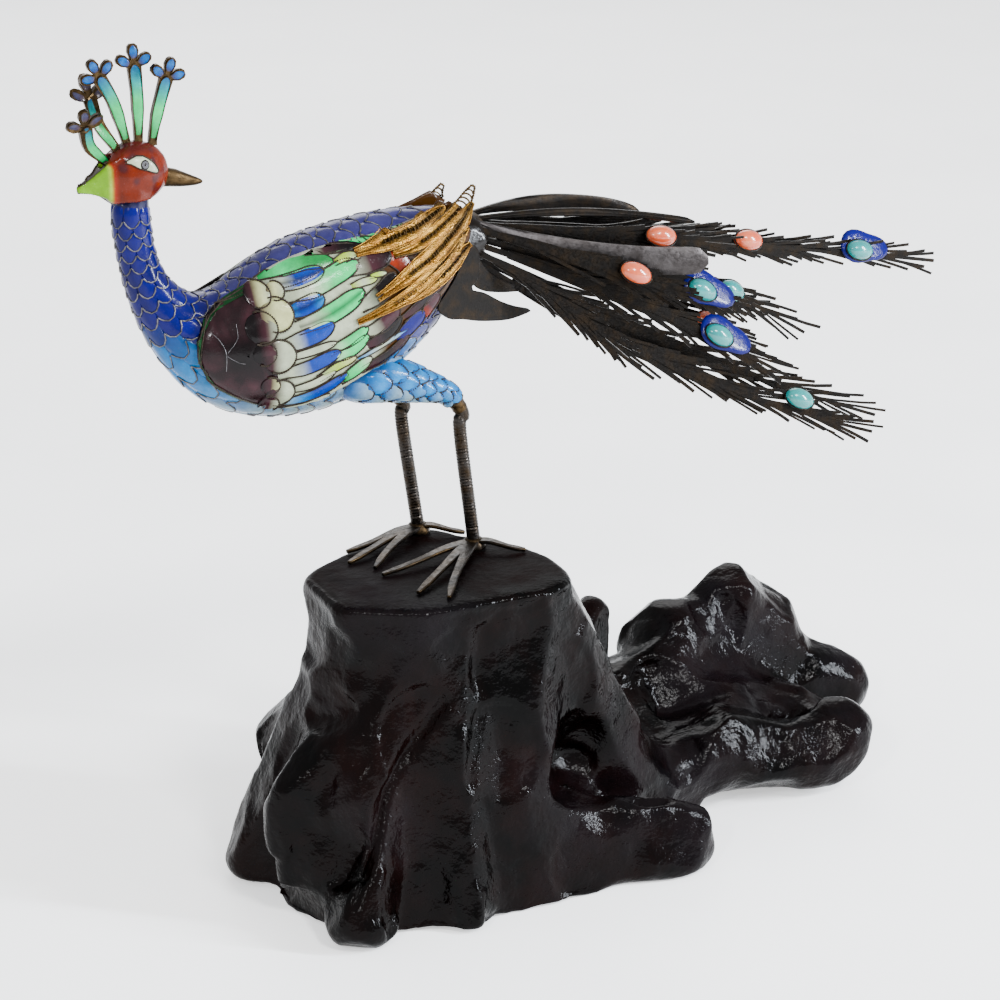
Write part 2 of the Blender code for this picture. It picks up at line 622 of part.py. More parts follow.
def build_blade(group, name, root, tip, sag, half_width, widest, blunt, finish):
    """A plain tail blade: a long leaf of thin plate."""
    points = tail_line(root, tip, sag, 9)
    rings = []
    for i, point in enumerate(points):
        t = i / 9
        swell = t / widest if t < widest else 1.0 - (1.0 - blunt) * ((t - widest) / (1.0 - widest)) ** 2
        half = (0.5 + (half_width - 0.5) * math.sin(0.5 * math.pi * swell)) * MM
        _, across, out = plate_frame(points, i, lean_at(points[-1].y))
        corners = [point + across * half + out * BLADE_THICK / 2,
                   point - across * half + out * BLADE_THICK / 2,
                   point - across * half - out * BLADE_THICK / 2,
                   point + across * half - out * BLADE_THICK / 2]
        rings.append([seat_on_body(corner) for corner in corners])
    return add(group, name, loft(name, rings), finish)


def feather_outline(length, half_width):
    """A comb-like feather laid flat: (along, across) points round its stem and barbs."""
    stem = STEM_WIDTH / 2
    bare = length * FEATHER_BARE
    reach = min(BARB_LENGTH, 0.34 * length)
    pitch = (length - bare - reach) / (BARBS - 1)
    spread = half_width * MM - stem
    wide = min(BARB_WIDTH, BARB_SHARE * spread * pitch / reach)
    side = []
    for i in range(BARBS):
        foot = bare + pitch * i
        fan = spread * (1.0 - BARB_FALL * i)
        side += [(foot, stem), (foot + reach, stem + fan), (foot + reach + 0.2 * wide, stem + fan - wide),
                 (foot + wide * reach / fan, stem)]
    upper = [(0.0, stem)] + side + [(length, 0.6 * stem)]
    lower = [(along, -across) for along, across in reversed(upper)]
    return upper + lower


def tail_line(root, tip, sag, steps):
    """The line of a tail plate, from the body's end to its tip."""
    start = Vector((TAIL_ROOT_X + GAP, root[0] * MM, TOP_HEIGHT + TAIL_ROOT_Z + root[1] * MM))
    return bow(start, above_top(*tip), sag * MM, steps)


def build_feather(group, number, root, tip, sag, half_width, finish):
    """A filigree tail feather: a flat comb of stem and barbs, bent along its bow."""
    points = tail_line(root, tip, sag, 24)
    length = (points[-1] - points[0]).length
    mesh = bent_plate(feather_outline(length, half_width), FEATHER_THICK, points, length, lean_at(points[-1].y))
    for vert in mesh.vertices:
        vert.co = seat_on_body(vert.co)
    return add(group, "tail_feather_%02d" % number, mesh, finish)


def build_stone(group, name, feather, share, shift, finish):
    """A cabochon that sits on a feather's outer face."""
    points = tail_line(*feather[:3], 24)
    i = int(share * 24)
    along, across, out = plate_frame(points, i, lean_at(points[-1].y))
    if points[-1].y > FAR_SIDE:
        out = -out
    work = bmesh.new()
    bmesh.ops.create_uvsphere(work, u_segments=8, v_segments=4, radius=1.0)
    low = [vert for vert in work.verts if vert.co.z < -0.01]
    bmesh.ops.delete(work, geom=low, context="VERTS")
    bmesh.ops.holes_fill(work, edges=work.edges)
    place = points[i] + across * shift * MM + out * (FEATHER_THICK / 2 + GAP)
    turn = Matrix((along * STONE_LENGTH / 2, across * STONE_WIDTH / 2, out * STONE_HEIGHT)).transposed()
    for vert in work.verts:
        vert.co = place + turn @ vert.co
    return add(group, name, mesh_from(name, work), finish)


def build_tail(group, silver, stones):
    """The train: plain blades on top, comb-like feathers below, and the stones on them."""
    for name, root, tip, sag, half, widest, blunt in BLADES:
        build_blade(group, name, root, tip, sag, half, widest, blunt, silver)
    count = 0
    for number, feather in enumerate(FEATHERS, start=1):
        build_feather(group, number, *feather[:4], silver)
        for share, colour, shift in feather[4]:
            count += 1
            build_stone(group, "stone_%02d" % count, feather, share, shift, stones[colour])


def main():
    """Build every piece of the figurine."""
    clear_scene()
    group = collection(NAME)
    cutters = collection("cutters")
    wood = material("lacquered_wood", (0.025, 0.012, 0.012), 0.18, 0.0)
    blue = material("blue_enamel", (0.02, 0.06, 0.45), 0.15, 0.0)
    green = material("feather_enamel", (0.25, 0.55, 0.45), 0.18, 0.0)
    red = material("red_enamel", (0.45, 0.06, 0.02), 0.15, 0.0)
    sky = material("sky_enamel", (0.10, 0.45, 0.75), 0.15, 0.0)
    mint = material("mint_enamel", (0.10, 0.60, 0.50), 0.2, 0.0)
    gilt = material("gilt_bronze", (0.45, 0.30, 0.14), 0.4, 1.0)
    wire = material("dark_wire", (0.10, 0.09, 0.08), 0.4, 1.0)
    silver = material("dark_silver", (0.16, 0.14, 0.12), 0.45, 1.0)
    stones = {"coral": material("coral", (0.85, 0.35, 0.25), 0.25, 0.0),
              "turquoise": material("turquoise", (0.10, 0.65, 0.60), 0.25, 0.0)}
    build_rock(group, cutters, wood)
    add(group, "body", loft("body", body_rings(0.0)), blue)
    surface = body_surface()
    for side in (-1, 1):
        build_wing(group, side, surface, green)
    build_head(group, cutters, red)
    build_beak(group, gilt)
    for number, (base, middle, tip, aside) in enumerate(CREST, start=1):
        build_crest(group, number, base, middle, tip, aside, mint)
    for label in ("left", "right"):
        build_leg(group, cutters, label, sky, wire)
        build_foot(group, cutters, label, gilt)
    build_tail(group, silver, stones)


main()
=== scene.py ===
"""Peacock figurine: an enamelled bird with a filigree train, on a carved and lacquered rock.

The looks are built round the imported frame: enamel tiles between wires on body, head, wings and thighs, gilt
filigree at the wings' tips, combs of cut metal strips with stones in the tail, and a glossy carved rock.
Metres, +Z up. The breast faces -X and the tail runs out along +X.
"""

import math
import random

import bpy
from bpy.props import FloatProperty, FloatVectorProperty, IntProperty, PointerProperty
from mathutils import Matrix, Vector, noise
from mathutils.bvhtree import BVHTree
from mathutils.kdtree import KDTree


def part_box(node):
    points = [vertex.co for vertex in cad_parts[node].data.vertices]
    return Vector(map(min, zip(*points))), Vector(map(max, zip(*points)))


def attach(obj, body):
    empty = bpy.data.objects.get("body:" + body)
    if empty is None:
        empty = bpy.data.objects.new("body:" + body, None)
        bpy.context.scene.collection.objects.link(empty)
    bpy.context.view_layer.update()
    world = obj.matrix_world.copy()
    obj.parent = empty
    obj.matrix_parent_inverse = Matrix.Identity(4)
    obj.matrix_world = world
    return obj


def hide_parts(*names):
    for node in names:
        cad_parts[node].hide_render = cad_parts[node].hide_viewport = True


bl_info = {
    "name": "Peacock figurine",
    "version": (1, 0, 0),
    "blender": (4, 5, 0),
    "location": "View3D > Sidebar > Peacock",
    "description": "Enamelled peacock with a filigree train on a carved rock",
    "category": "Add Mesh",
}

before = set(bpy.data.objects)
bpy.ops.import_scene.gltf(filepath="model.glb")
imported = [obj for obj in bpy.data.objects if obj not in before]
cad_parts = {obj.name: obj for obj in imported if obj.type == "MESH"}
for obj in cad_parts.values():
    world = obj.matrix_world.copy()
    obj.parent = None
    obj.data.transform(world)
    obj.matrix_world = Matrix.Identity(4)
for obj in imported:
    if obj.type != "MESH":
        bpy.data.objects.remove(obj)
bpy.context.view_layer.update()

MM = 0.001
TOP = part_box("stand")[1].z
SIDES = {"left": -1.0, "right": 1.0}
WHITE = Vector((1, 1, 1))


# ---------------------------------------------------------------- settings

def length(name, value, about):
    """A length that the sidebar shows."""
    return FloatProperty(name=name, description=about, default=value, min=0.0, unit="LENGTH", precision=5)


def colour(name, value, about):
    """A colour that the sidebar shows."""
    return FloatVectorProperty(name=name, description=about, default=value, subtype="COLOR",
                               size=3, min=0.0, max=1.0)


class EnamelColours(bpy.types.PropertyGroup):
    cobalt: colour("Cobalt", (0.0009, 0.0009, 0.085), "Scales of the neck")
    violet: colour("Violet", (0.028, 0.026, 0.100), "Scales of the back")
    sky: colour("Sky", (0.001, 0.060, 0.21), "Scales of the belly and thighs")
    pale_sky: colour("Pale sky", (0.005, 0.145, 0.35), "Light middles of the sky scales")
    milk: colour("Milk", (0.27, 0.30, 0.21), "White enamel at the feathers' roots")
    cream: colour("Cream", (0.34, 0.35, 0.17), "Scallops behind the shoulder")
    mint: colour("Mint", (0.006, 0.38, 0.10), "Green feathers")
    leaf: colour("Leaf", (0.003, 0.15, 0.03), "Deeper green")
    blue: colour("Blue", (0.001, 0.024, 0.20), "Tips of the middle feathers")
    plum: colour("Plum", (0.0014, 0.0004, 0.0007), "Dark shield and dark tips")
    wine: colour("Wine", (0.026, 0.008, 0.011), "Lighter parts of the dark enamel")
    red: colour("Red", (0.088, 0.0080, 0.001), "Head")
    coral: colour("Coral", (0.22, 0.016, 0.003), "Warm patches of the wing")
    lime: colour("Lime", (0.10, 0.24, 0.0), "Flap behind the head")
    lemon: colour("Lemon", (0.24, 0.34, 0.04), "Thin yellow feathers")
    dark: colour("Dark", (0.004, 0.003, 0.003), "Lines and pupils")


class MetalColours(bpy.types.PropertyGroup):
    gold: colour("Gold", (0.36, 0.20, 0.04), "Gilt filigree")
    amber: colour("Amber", (0.15, 0.056, 0.010), "Deep places of the filigree")
    bronze: colour("Bronze", (0.055, 0.034, 0.015), "Beak, feet and rims")
    wire: colour("Wire", (0.022, 0.015, 0.009), "Wires between the tiles")
    pale_wire: colour("Pale wire", (0.13, 0.125, 0.13), "Worn silver wires on the neck")
    silver: colour("Silver", (0.008, 0.0072, 0.0066), "Oxidised tail")
    tinge: colour("Tinge", (0.018, 0.012, 0.007), "Gilding left on the tail")


class BirdSizes(bpy.types.PropertyGroup):
    neck_scale: length("Neck scale", 0.0029, "Width of a scale at the top of the neck")
    body_scale: length("Body scale", 0.0043, "Width of a scale on the body")
    thigh_scale: length("Thigh scale", 0.0044, "Width of a scale on the thighs")
    scale_wire: length("Scale wire", 0.00017, "Radius of the wires round the scales")
    wing_wire: length("Wing wire", 0.00022, "Radius of the wires round the wing's feathers")
    tile_dome: length("Tile dome", 0.00022, "How far an enamel tile swells")
    leg_radius: length("Leg radius", 0.00135, "Radius of the leg wires")
    crest_width: length("Crest width", 0.0023, "Width of a crest strip")


class TailSizes(bpy.types.PropertyGroup):
    barbs: IntProperty(name="Barbs", description="Barbs on each side of a feather", default=20, min=4, max=40)
    barb_length: length("Barb length", 0.0205, "Length of a barb")
    barb_width: length("Barb width", 0.00056, "Width of a barb")
    barb_thick: length("Barb thickness", 0.00026, "Thickness of a barb")
    stem_width: length("Stem width", 0.0012, "Width of a feather's stem")
    stone_length: length("Stone length", 0.0066, "Length of a stone")
    stone_width: length("Stone width", 0.0042, "Width of a stone")
    stone_height: length("Stone height", 0.0020, "Height of a stone")


class RockSizes(bpy.types.PropertyGroup):
    voxel: length("Grain of the carving", 0.00085, "Voxel size of the rock's skin")
    swell: length("Swell", 0.0007, "Depth of the soft unevenness")
    ripple: length("Ripple", 0.00022, "Depth of the tool marks")
    facet: length("Facet", 0.0105, "Distance between the chisel's flat facets")
    facet_depth: length("Facet depth", 0.0010, "How deep a facet is planed")


def enamel(name):
    """An enamel colour by its name in the settings."""
    return Vector(getattr(bpy.context.scene.peacock_enamel, name))


def metal(name):
    """A metal colour by its name in the settings."""
    return Vector(getattr(bpy.context.scene.peacock_metal, name))


# ---------------------------------------------------------------- materials

def add_node(tree, kind, values=None, **settings):
    """A shader node with input values by socket name or number."""
    made = tree.nodes.new(kind)
    for key, value in settings.items():
        setattr(made, key, value)
    for key, value in (values or {}).items():
        made.inputs[key].default_value = value
    return made


def mix(tree, factor, first, second):
    """A colour mix; each of first and second is a colour or a socket."""
    made = add_node(tree, "ShaderNodeMix", data_type="RGBA")
    tree.links.new(factor, made.inputs[0])
    for number, value in ((6, first), (7, second)):
        if isinstance(value, bpy.types.NodeSocket):
            tree.links.new(value, made.inputs[number])
        else:
            made.inputs[number].default_value = (*value, 1.0)
    return made.outputs[2]


def grain_group():
    """Fine grain shared by the finishes: a mask and a height that vary over the surface."""
    group = bpy.data.node_groups.get("fine_grain")
    if group:
        return group
    group = bpy.data.node_groups.new("fine_grain", "ShaderNodeTree")
    for name in ("Scale", "Detail", "Low", "High"):
        group.interface.new_socket(name, in_out="INPUT", socket_type="NodeSocketFloat")
    group.interface.new_socket("Stretch", in_out="INPUT", socket_type="NodeSocketVector")
    for name in ("Mask", "Height"):
        group.interface.new_socket(name, in_out="OUTPUT", socket_type="NodeSocketFloat")
    source = group.nodes.new("NodeGroupInput")
    sink = group.nodes.new("NodeGroupOutput")
    place = group.nodes.new("ShaderNodeTexCoord")
    scaled = add_node(group, "ShaderNodeVectorMath", operation="MULTIPLY")
    cloud = add_node(group, "ShaderNodeTexNoise", {"Roughness": 0.6})
    ramp = add_node(group, "ShaderNodeMapRange")
    group.links.new(place.outputs["Object"], scaled.inputs[0])
    group.links.new(source.outputs["Stretch"], scaled.inputs[1])
    group.links.new(scaled.outputs[0], cloud.inputs["Vector"])
    group.links.new(source.outputs["Scale"], cloud.inputs["Scale"])
    group.links.new(source.outputs["Detail"], cloud.inputs["Detail"])
    group.links.new(cloud.outputs[0], ramp.inputs["Value"])
    group.links.new(source.outputs["Low"], ramp.inputs["From Min"])
    group.links.new(source.outputs["High"], ramp.inputs["From Max"])
    group.links.new(ramp.outputs[0], sink.inputs["Mask"])
    group.links.new(cloud.outputs[0], sink.inputs["Height"])
    return group


def grain(tree, scale, detail=3.0, low=0.35, high=0.65, stretch=(1, 1, 1)):
    """The fine grain group placed in a material."""
    made = tree.nodes.new("ShaderNodeGroup")
    made.node_tree = grain_group()
    for name, value in (("Scale", scale), ("Detail", detail), ("Low", low), ("High", high), ("Stretch", stretch)):
        made.inputs[name].default_value = value
    return made


def bump(tree, shader, height, distance, strength, below=None):
    """A bump on the shader's normal, over another bump if one is given."""
    made = add_node(tree, "ShaderNodeBump", {"Strength": strength, "Distance": distance})
    tree.links.new(height, made.inputs["Height"])
    if below:
        tree.links.new(below.outputs[0], made.inputs["Normal"])
    tree.links.new(made.outputs[0], shader.inputs["Normal"])
    return made


def finish(name, values):
    """A material by its name. A new one gets plain shader values and comes with its node tree and shader."""
    made = bpy.data.materials.get(name)
    if made:
        return made, None, None
    made = bpy.data.materials.new(name)
    made.use_nodes = True
    shader = made.node_tree.nodes["Principled BSDF"]
    for key, value in values.items():
        shader.inputs[key].default_value = value
    return made, made.node_tree, shader


def range_to(tree, value, low, high, socket):
    """Map a mask from 0..1 to low..high and plug it in."""
    made = add_node(tree, "ShaderNodeMapRange", {"To Min": low, "To Max": high})
    tree.links.new(value, made.inputs["Value"])
    tree.links.new(made.outputs[0], socket)


def enamel_finish():
    """Glossy enamel that takes its colour from the tiles' own tint."""
    made, tree, shader = finish("fired_enamel", {"Coat Weight": 0.09, "Coat Roughness": 0.04,
                                                 "Specular IOR Level": 0.10})
    if tree:
        tint = add_node(tree, "ShaderNodeAttribute", attribute_name="tint")
        cloud = grain(tree, 420.0, 4.0, 0.3, 0.75)
        specks = grain(tree, 3200.0, 2.0, 0.62, 0.75)
        deep = add_node(tree, "ShaderNodeHueSaturation", {"Saturation": 1.1, "Value": 0.62})
        tree.links.new(tint.outputs["Color"], deep.inputs["Color"])
        body = mix(tree, cloud.outputs["Mask"], tint.outputs["Color"], deep.outputs[0])
        pale = add_node(tree, "ShaderNodeHueSaturation", {"Saturation": 0.7, "Value": 1.5})
        tree.links.new(body, pale.inputs["Color"])
        half = add_node(tree, "ShaderNodeMath", {1: 0.35}, operation="MULTIPLY")
        tree.links.new(specks.outputs["Mask"], half.inputs[0])
        tree.links.new(mix(tree, half.outputs[0], body, pale.outputs[0]), shader.inputs["Base Color"])
        range_to(tree, cloud.outputs["Mask"], 0.12, 0.32, shader.inputs["Roughness"])
        waves = bump(tree, shader, cloud.outputs["Height"], 0.00025, 0.6)
        bump(tree, shader, specks.outputs["Height"], 0.00003, 0.4, waves)
    return made


def metal_finish(name, light, deep, rough, scale=900.0, relief=0.00006, spread=(0.35, 0.68)):
    """Worn metal: light on the high places and deep in the low ones."""
    made, tree, shader = finish(name, {"Metallic": 1.0})
    if tree:
        patches = grain(tree, scale, 4.0, *spread)
        fine = grain(tree, scale * 5.0, 2.0)
        tree.links.new(mix(tree, patches.outputs["Mask"], light, deep), shader.inputs["Base Color"])
        range_to(tree, fine.outputs["Mask"], *rough, shader.inputs["Roughness"])
        bump(tree, shader, fine.outputs["Height"], relief, 0.8)
    return made


def gold_finish():
    """Gilt filigree made of rows of tiny granules."""
    made, tree, shader = finish("gilt_filigree", {"Metallic": 1.0})
    if tree:
        tint = add_node(tree, "ShaderNodeAttribute", attribute_name="tint")
        place = tree.nodes.new("ShaderNodeTexCoord")
        beads = add_node(tree, "ShaderNodeTexVoronoi", {"Scale": 4200.0, "Randomness": 0.6})
        tree.links.new(place.outputs["Object"], beads.inputs["Vector"])
        dark = add_node(tree, "ShaderNodeHueSaturation", {"Saturation": 1.1, "Value": 0.16})
        tree.links.new(tint.outputs["Color"], dark.inputs["Color"])
        edge = add_node(tree, "ShaderNodeMapRange", {"From Min": 0.30, "From Max": 0.70})
        tree.links.new(beads.outputs["Distance"], edge.inputs["Value"])
        tree.links.new(mix(tree, edge.outputs[0], tint.outputs["Color"], dark.outputs[0]),
                       shader.inputs["Base Color"])
        patches = grain(tree, 700.0)
        range_to(tree, patches.outputs["Mask"], 0.26, 0.46, shader.inputs["Roughness"])
        bump(tree, shader, beads.outputs["Distance"], 0.00007, 0.8).invert = True
    return made


def lacquer_finish():
    """Black-brown lacquer over wood, thin and red on the raised places, with grey-purple patches that are partly dust
    and partly a painted sheen, and a crackled gloss.
    """
    made, tree, shader = finish("glossy_lacquer", {"Coat Roughness": 0.10, "Specular IOR Level": 0.018})
    if tree:
        patches = grain(tree, 55.0, 6.0, 0.42, 0.66)
        wood = grain(tree, 160.0, 5.0, 0.45, 0.75, (1.0, 1.0, 0.25))
        # Grey-purple patches in the base colour: partly dust, partly a painted sheen on the lacquer.
        dust_and_sheen = grain(tree, 30.0, 5.0, 0.5, 0.8)
        ground = mix(tree, patches.outputs["Mask"], (0.0002, 0.00015, 0.00015), (0.0034, 0.0008, 0.0006))
        grained = mix(tree, wood.outputs["Mask"], ground, (0.0013, 0.0006, 0.0006))
        dusted_and_sheened = mix(tree, dust_and_sheen.outputs["Mask"], grained, (0.0042, 0.0032, 0.0042))
        tree.links.new(dusted_and_sheened, shader.inputs["Base Color"])
        tint = add_node(tree, "ShaderNodeAttribute", attribute_name="tint")
        dull = add_node(tree, "ShaderNodeMath", {1: 0.32}, operation="MULTIPLY")
        tree.links.new(tint.outputs["Fac"], dull.inputs[0])
        total = add_node(tree, "ShaderNodeMath", operation="ADD")
        range_to(tree, patches.outputs["Mask"], 0.12, 0.34, total.inputs[0])
        tree.links.new(dull.outputs[0], total.inputs[1])
        tree.links.new(total.outputs[0], shader.inputs["Roughness"])
        range_to(tree, tint.outputs["Fac"], 0.08, 0.0, shader.inputs["Coat Weight"])
        crackle = grain(tree, 900.0, 3.0)
        waves = grain(tree, 230.0, 3.0)
        below = bump(tree, shader, waves.outputs["Height"], 0.0007, 0.7)
        top = bump(tree, shader, crackle.outputs["Height"], 0.00022, 0.7, below)
        tree.links.new(top.outputs[0], shader.inputs["Coat Normal"])
    return made


def stone_finish(name, light, deep):
    """A polished stone with soft clouds of a second tone."""
    made, tree, shader = finish(name, {"Coat Weight": 0.3, "Coat Roughness": 0.08, "Subsurface Weight": 0.1,
                                       "Subsurface Scale": 0.001})
    if tree:
        clouds = grain(tree, 320.0, 4.0, 0.35, 0.75)
        tree.links.new(mix(tree, clouds.outputs["Mask"], light, deep), shader.inputs["Base Color"])
        range_to(tree, clouds.outputs["Mask"], 0.16, 0.3, shader.inputs["Roughness"])
        bump(tree, shader, clouds.outputs["Height"], 0.00008, 0.4)
    return made


def gilt():
    """Brown gilt metal."""
    return metal_finish("brown_gilt", metal("bronze"), metal("bronze") * 0.35, (0.28, 0.5))


def dark_wire():
    """Dark, dull wire between the tiles."""
    made, tree, shader = finish("soot_wire", {"Specular IOR Level": 0.12})
    if tree:
        soot = grain(tree, 1500.0)
        tone = mix(tree, soot.outputs["Mask"], metal("wire"), metal("wire") * 0.3)
        tree.links.new(tone, shader.inputs["Base Color"])
        range_to(tree, soot.outputs["Mask"], 0.35, 0.6, shader.inputs["Roughness"])
        bump(tree, shader, soot.outputs["Height"], 0.00004, 0.6)
    return made


def pale_wire():
    """Worn silver wire."""
    return metal_finish("worn_wire", metal("pale_wire"), metal("pale_wire") * 0.3, (0.3, 0.5))


def old_silver():
    """Oxidised silver with a little gilding left."""
    return metal_finish("old_silver", metal("silver"), metal("tinge"), (0.3, 0.55), 420.0, spread=(0.45, 0.85))


# ---------------------------------------------------------------- modelling help

def pick(item):
    """Select one object alone and make it active."""
    bpy.ops.object.select_all(action="DESELECT")
    item.select_set(True)
    bpy.context.view_layer.objects.active = item


def modify(item, kind, **values):
    """Add a modifier and apply it."""
    pick(item)
    change = item.modifiers.new(kind.lower(), kind)
    for key, value in values.items():
        setattr(change, key, value)
    bpy.ops.object.modifier_apply(modifier=change.name)


def add_object(name, data):
    """A new object in the scene."""
    item = bpy.data.objects.new(name, data)
    bpy.context.scene.collection.objects.link(item)
    return item


def edit(item, step, **values):
    """Run an edit-mode step on the whole mesh of one object."""
    pick(item)
    bpy.ops.object.mode_set(mode="EDIT")
    bpy.ops.mesh.select_all(action="SELECT")
    step(**values)
    bpy.ops.object.mode_set(mode="OBJECT")


def above(x, y, z):
    """A place from mm, with its height counted from the rock's top."""
    return Vector((x * MM, y * MM, TOP + z * MM))


def across_at(line, i):
    """The way across a flat line, at one of its points."""
    along = (line[min(i + 1, len(line) - 1)] - line[max(i - 1, 0)]).normalized()
    return Vector((-along.y, along.x))


def settle(item, slot, *nodes):
    """Put a finished piece on the bird's one body and hide the nodes that it stands for; the slot argument is not
    used.
    """
    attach(item, "root")
    if nodes:
        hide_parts(*nodes)
    return item


def refined(node, name, material, voxel=None, smooth=0, levels=0, quads=True):
    """A smoothed copy of a CAD node, as a piece of its own."""
    mesh = bpy.data.objects[node].data.copy()
    item = add_object(name, mesh)
    mesh.materials.clear()
    mesh.materials.append(material)
    edit(item, bpy.ops.mesh.remove_doubles, threshold=0.00001)
    if quads:
        edit(item, bpy.ops.mesh.tris_convert_to_quads)
    if voxel:
        modify(item, "REMESH", mode="VOXEL", voxel_size=voxel)
    if smooth:
        modify(item, "SMOOTH", iterations=smooth, factor=0.5)
    if levels:
        modify(item, "SUBSURF", levels=levels, render_levels=levels)
    pick(item)
    bpy.ops.object.shade_smooth()
    return item


def skin_of(item):
    """The places and normals of an object's points, read before any of them moves."""
    return [v.co.copy() for v in item.data.vertices], [v.normal.copy() for v in item.data.vertices]


def reshape(item, places):
    """Put an object's points in new places."""
    item.data.vertices.foreach_set("co", [value for place in places for value in place])
    item.data.update()


def tree_of(item):
    """A search tree over an object's mesh."""
    mesh = item.data
    return BVHTree.FromPolygons([v.co for v in mesh.vertices], [tuple(p.vertices) for p in mesh.polygons])


def paint(item, chooser):
    """Give each point of a mesh its tint from a function of its place and normal."""
    layer = item.data.color_attributes.get("tint") or item.data.color_attributes.new("tint", "FLOAT_COLOR", "POINT")
    for vertex, cell in zip(item.data.vertices, layer.data):
        cell.color = (*chooser(vertex.co / MM, vertex.normal), 1.0)


def even_line(points, steps):
    """Points at even steps along a smooth line through the given points."""
    ends = [points[0] * 2 - points[1]] + list(points) + [points[-1] * 2 - points[-2]]
    fine = []
    for a, b, c, d in zip(ends, ends[1:], ends[2:], ends[3:]):
        for i in range(10):
            t = i / 10
            fine.append(0.5 * (2 * b + (c - a) * t + (2 * a - 5 * b + 4 * c - d) * t * t
                               + (3 * b - a - 3 * c + d) * t ** 3))
    fine.append(points[-1])
    reach = [0.0]
    for a, b in zip(fine, fine[1:]):
        reach.append(reach[-1] + (b - a).length)
    spots, k = [], 0
    for i in range(steps + 1):
        want = reach[-1] * i / steps
        while k < len(fine) - 2 and reach[k + 1] < want:
            k += 1
        span = max(reach[k + 1] - reach[k], 1e-12)
        spots.append(fine[k].lerp(fine[k + 1], min(1.0, (want - reach[k]) / span)))
    return spots


def line_length(points):
    """The length of a line of points."""
    return sum((b - a).length for a, b in zip(points, points[1:]))


def blend(stops, t):
    """A colour from evenly spread stops, at t from 0 to 1."""
    share = min(max(t, 0.0), 1.0) * (len(stops) - 1)
    low = min(int(share), len(stops) - 2)
    return stops[low].lerp(stops[low + 1], share - low)


def ease(low, high, value):
    """0 below low, 1 above high, and smooth between."""
    t = min(max((value - low) / (high - low), 0.0), 1.0)
    return t * t * (3.0 - 2.0 * t)


class Skin:
    """The points, faces and tints of one mesh while it is put together."""

    def __init__(self):
        self.points, self.faces, self.tints = [], [], []

    def sheet(self, rows, tints, out, closed=False, caps=False):
        """A grid of points. The faces are turned so that the middle one faces out."""
        base, wide = len(self.points), len(rows[0])
        for row, shades in zip(rows, tints):
            self.points += row
            self.tints += shades
        faces = []
        for i in range(len(rows) - 1):
            for j in range(wide if closed else wide - 1):
                a, b = base + i * wide + j, base + i * wide + (j + 1) % wide
                faces.append((a, b, b + wide, a + wide))
        if caps:
            faces.append(tuple(reversed(range(base, base + wide))))
            faces.append(tuple(range(base + (len(rows) - 1) * wide, base + len(rows) * wide)))
        middle = faces[((len(rows) - 1) // 2) * (wide if closed else wide - 1)
                       + (0 if closed else (wide - 1) // 2)]
        a, b, c, _ = (self.points[k] for k in middle)
        if callable(out):
            out = out(a)
        if (b - a).cross(c - a).dot(out) < 0.0:
            faces = [tuple(reversed(face)) for face in faces]
        self.faces += faces

    def bar(self, points, widths, thick, across):
        """A flat white strip along points, with its own width at each point: a closed bar with four sides."""
        rows = []
        for i, point in enumerate(points):
            along = points[min(i + 1, len(points) - 1)] - points[max(i - 1, 0)]
            up = along.cross(across).normalized()
            side = up.cross(along).normalized()
            w, h = side * widths[i] / 2, up * thick / 2
            rows.append([point - w - h, point + w - h, point + w + h, point - w + h])
        first = points[0] - (rows[0][0] + rows[0][1]) / 2
        self.sheet(rows, [[WHITE] * 4] * len(rows), -first, closed=True, caps=True)

    def tube(self, points, radii, sides, flat=1.0, tint=WHITE):
        """A round bar with a radius at each point."""
        rows = []
        for i, point in enumerate(points):
            along = points[min(i + 1, len(points) - 1)] - points[max(i - 1, 0)]
            up = along.cross(Vector((0, 1, 0))).normalized()
            side = up.cross(along).normalized()
            ring = []
            for k in range(sides):
                angle = 2.0 * math.pi * k / sides
                ring.append(point + (side * math.cos(angle) * flat + up * math.sin(angle)) * radii[i])
            rows.append(ring)
        middle = max(0, len(points) // 2 - (len(points) > 2))
        self.sheet(rows, [[tint] * sides] * len(rows), lambda spot: spot - points[middle], closed=True, caps=True)

    def piece(self, name, material):
        """Make the object."""
        mesh = bpy.data.meshes.new(name)
        mesh.from_pydata(self.points, [], self.faces)
        layer = mesh.color_attributes.new("tint", "FLOAT_COLOR", "POINT")
        layer.data.foreach_set("color", [v for tint in self.tints for v in (*tint, 1.0)])
        mesh.materials.append(material)
        item = add_object(name, mesh)
        pick(item)
        bpy.ops.object.shade_smooth_by_angle(angle=math.radians(50))
        return item


def wires(name, lines, material):
    """Round wires along lines of (points, radius or radii), as one mesh."""
    curve = bpy.data.curves.new(name, "CURVE")
    curve.dimensions = "3D"
    curve.bevel_depth = 1.0
    curve.bevel_resolution = 0
    curve.use_fill_caps = True
    for points, radius in lines:
        strand = curve.splines.new("POLY")
        strand.points.add(len(points) - 1)
        for i, (spot, point) in enumerate(zip(strand.points, points)):
            spot.co = (*point, 1.0)
            spot.radius = radius[i] if isinstance(radius, list) else radius
    curve.materials.append(material)
    pick(add_object(name, curve))
    bpy.ops.object.convert(target="MESH")
    bpy.ops.object.shade_smooth()
    return bpy.context.view_layer.objects.active


TWIST_PITCH = 0.00045


def twisted(points, radius):
    """A line cut fine, with a radius that rises and falls like twisted wire."""
    steps = max(4, int(line_length(points) / TWIST_PITCH * 2))
    fine = even_line(points, steps)
    return fine, [radius * (1.25 if i % 2 else 0.7) for i in range(steps + 1)]


# A leaf's section: share of its half width and of its dome. Its edge dips by the first dome share
LEAF_ACROSS = ((-1.0, -0.7), (-0.9, 0.45), (-0.5, 0.85), (0.0, 1.0), (0.5, 0.85), (0.9, 0.45), (1.0, -0.7))


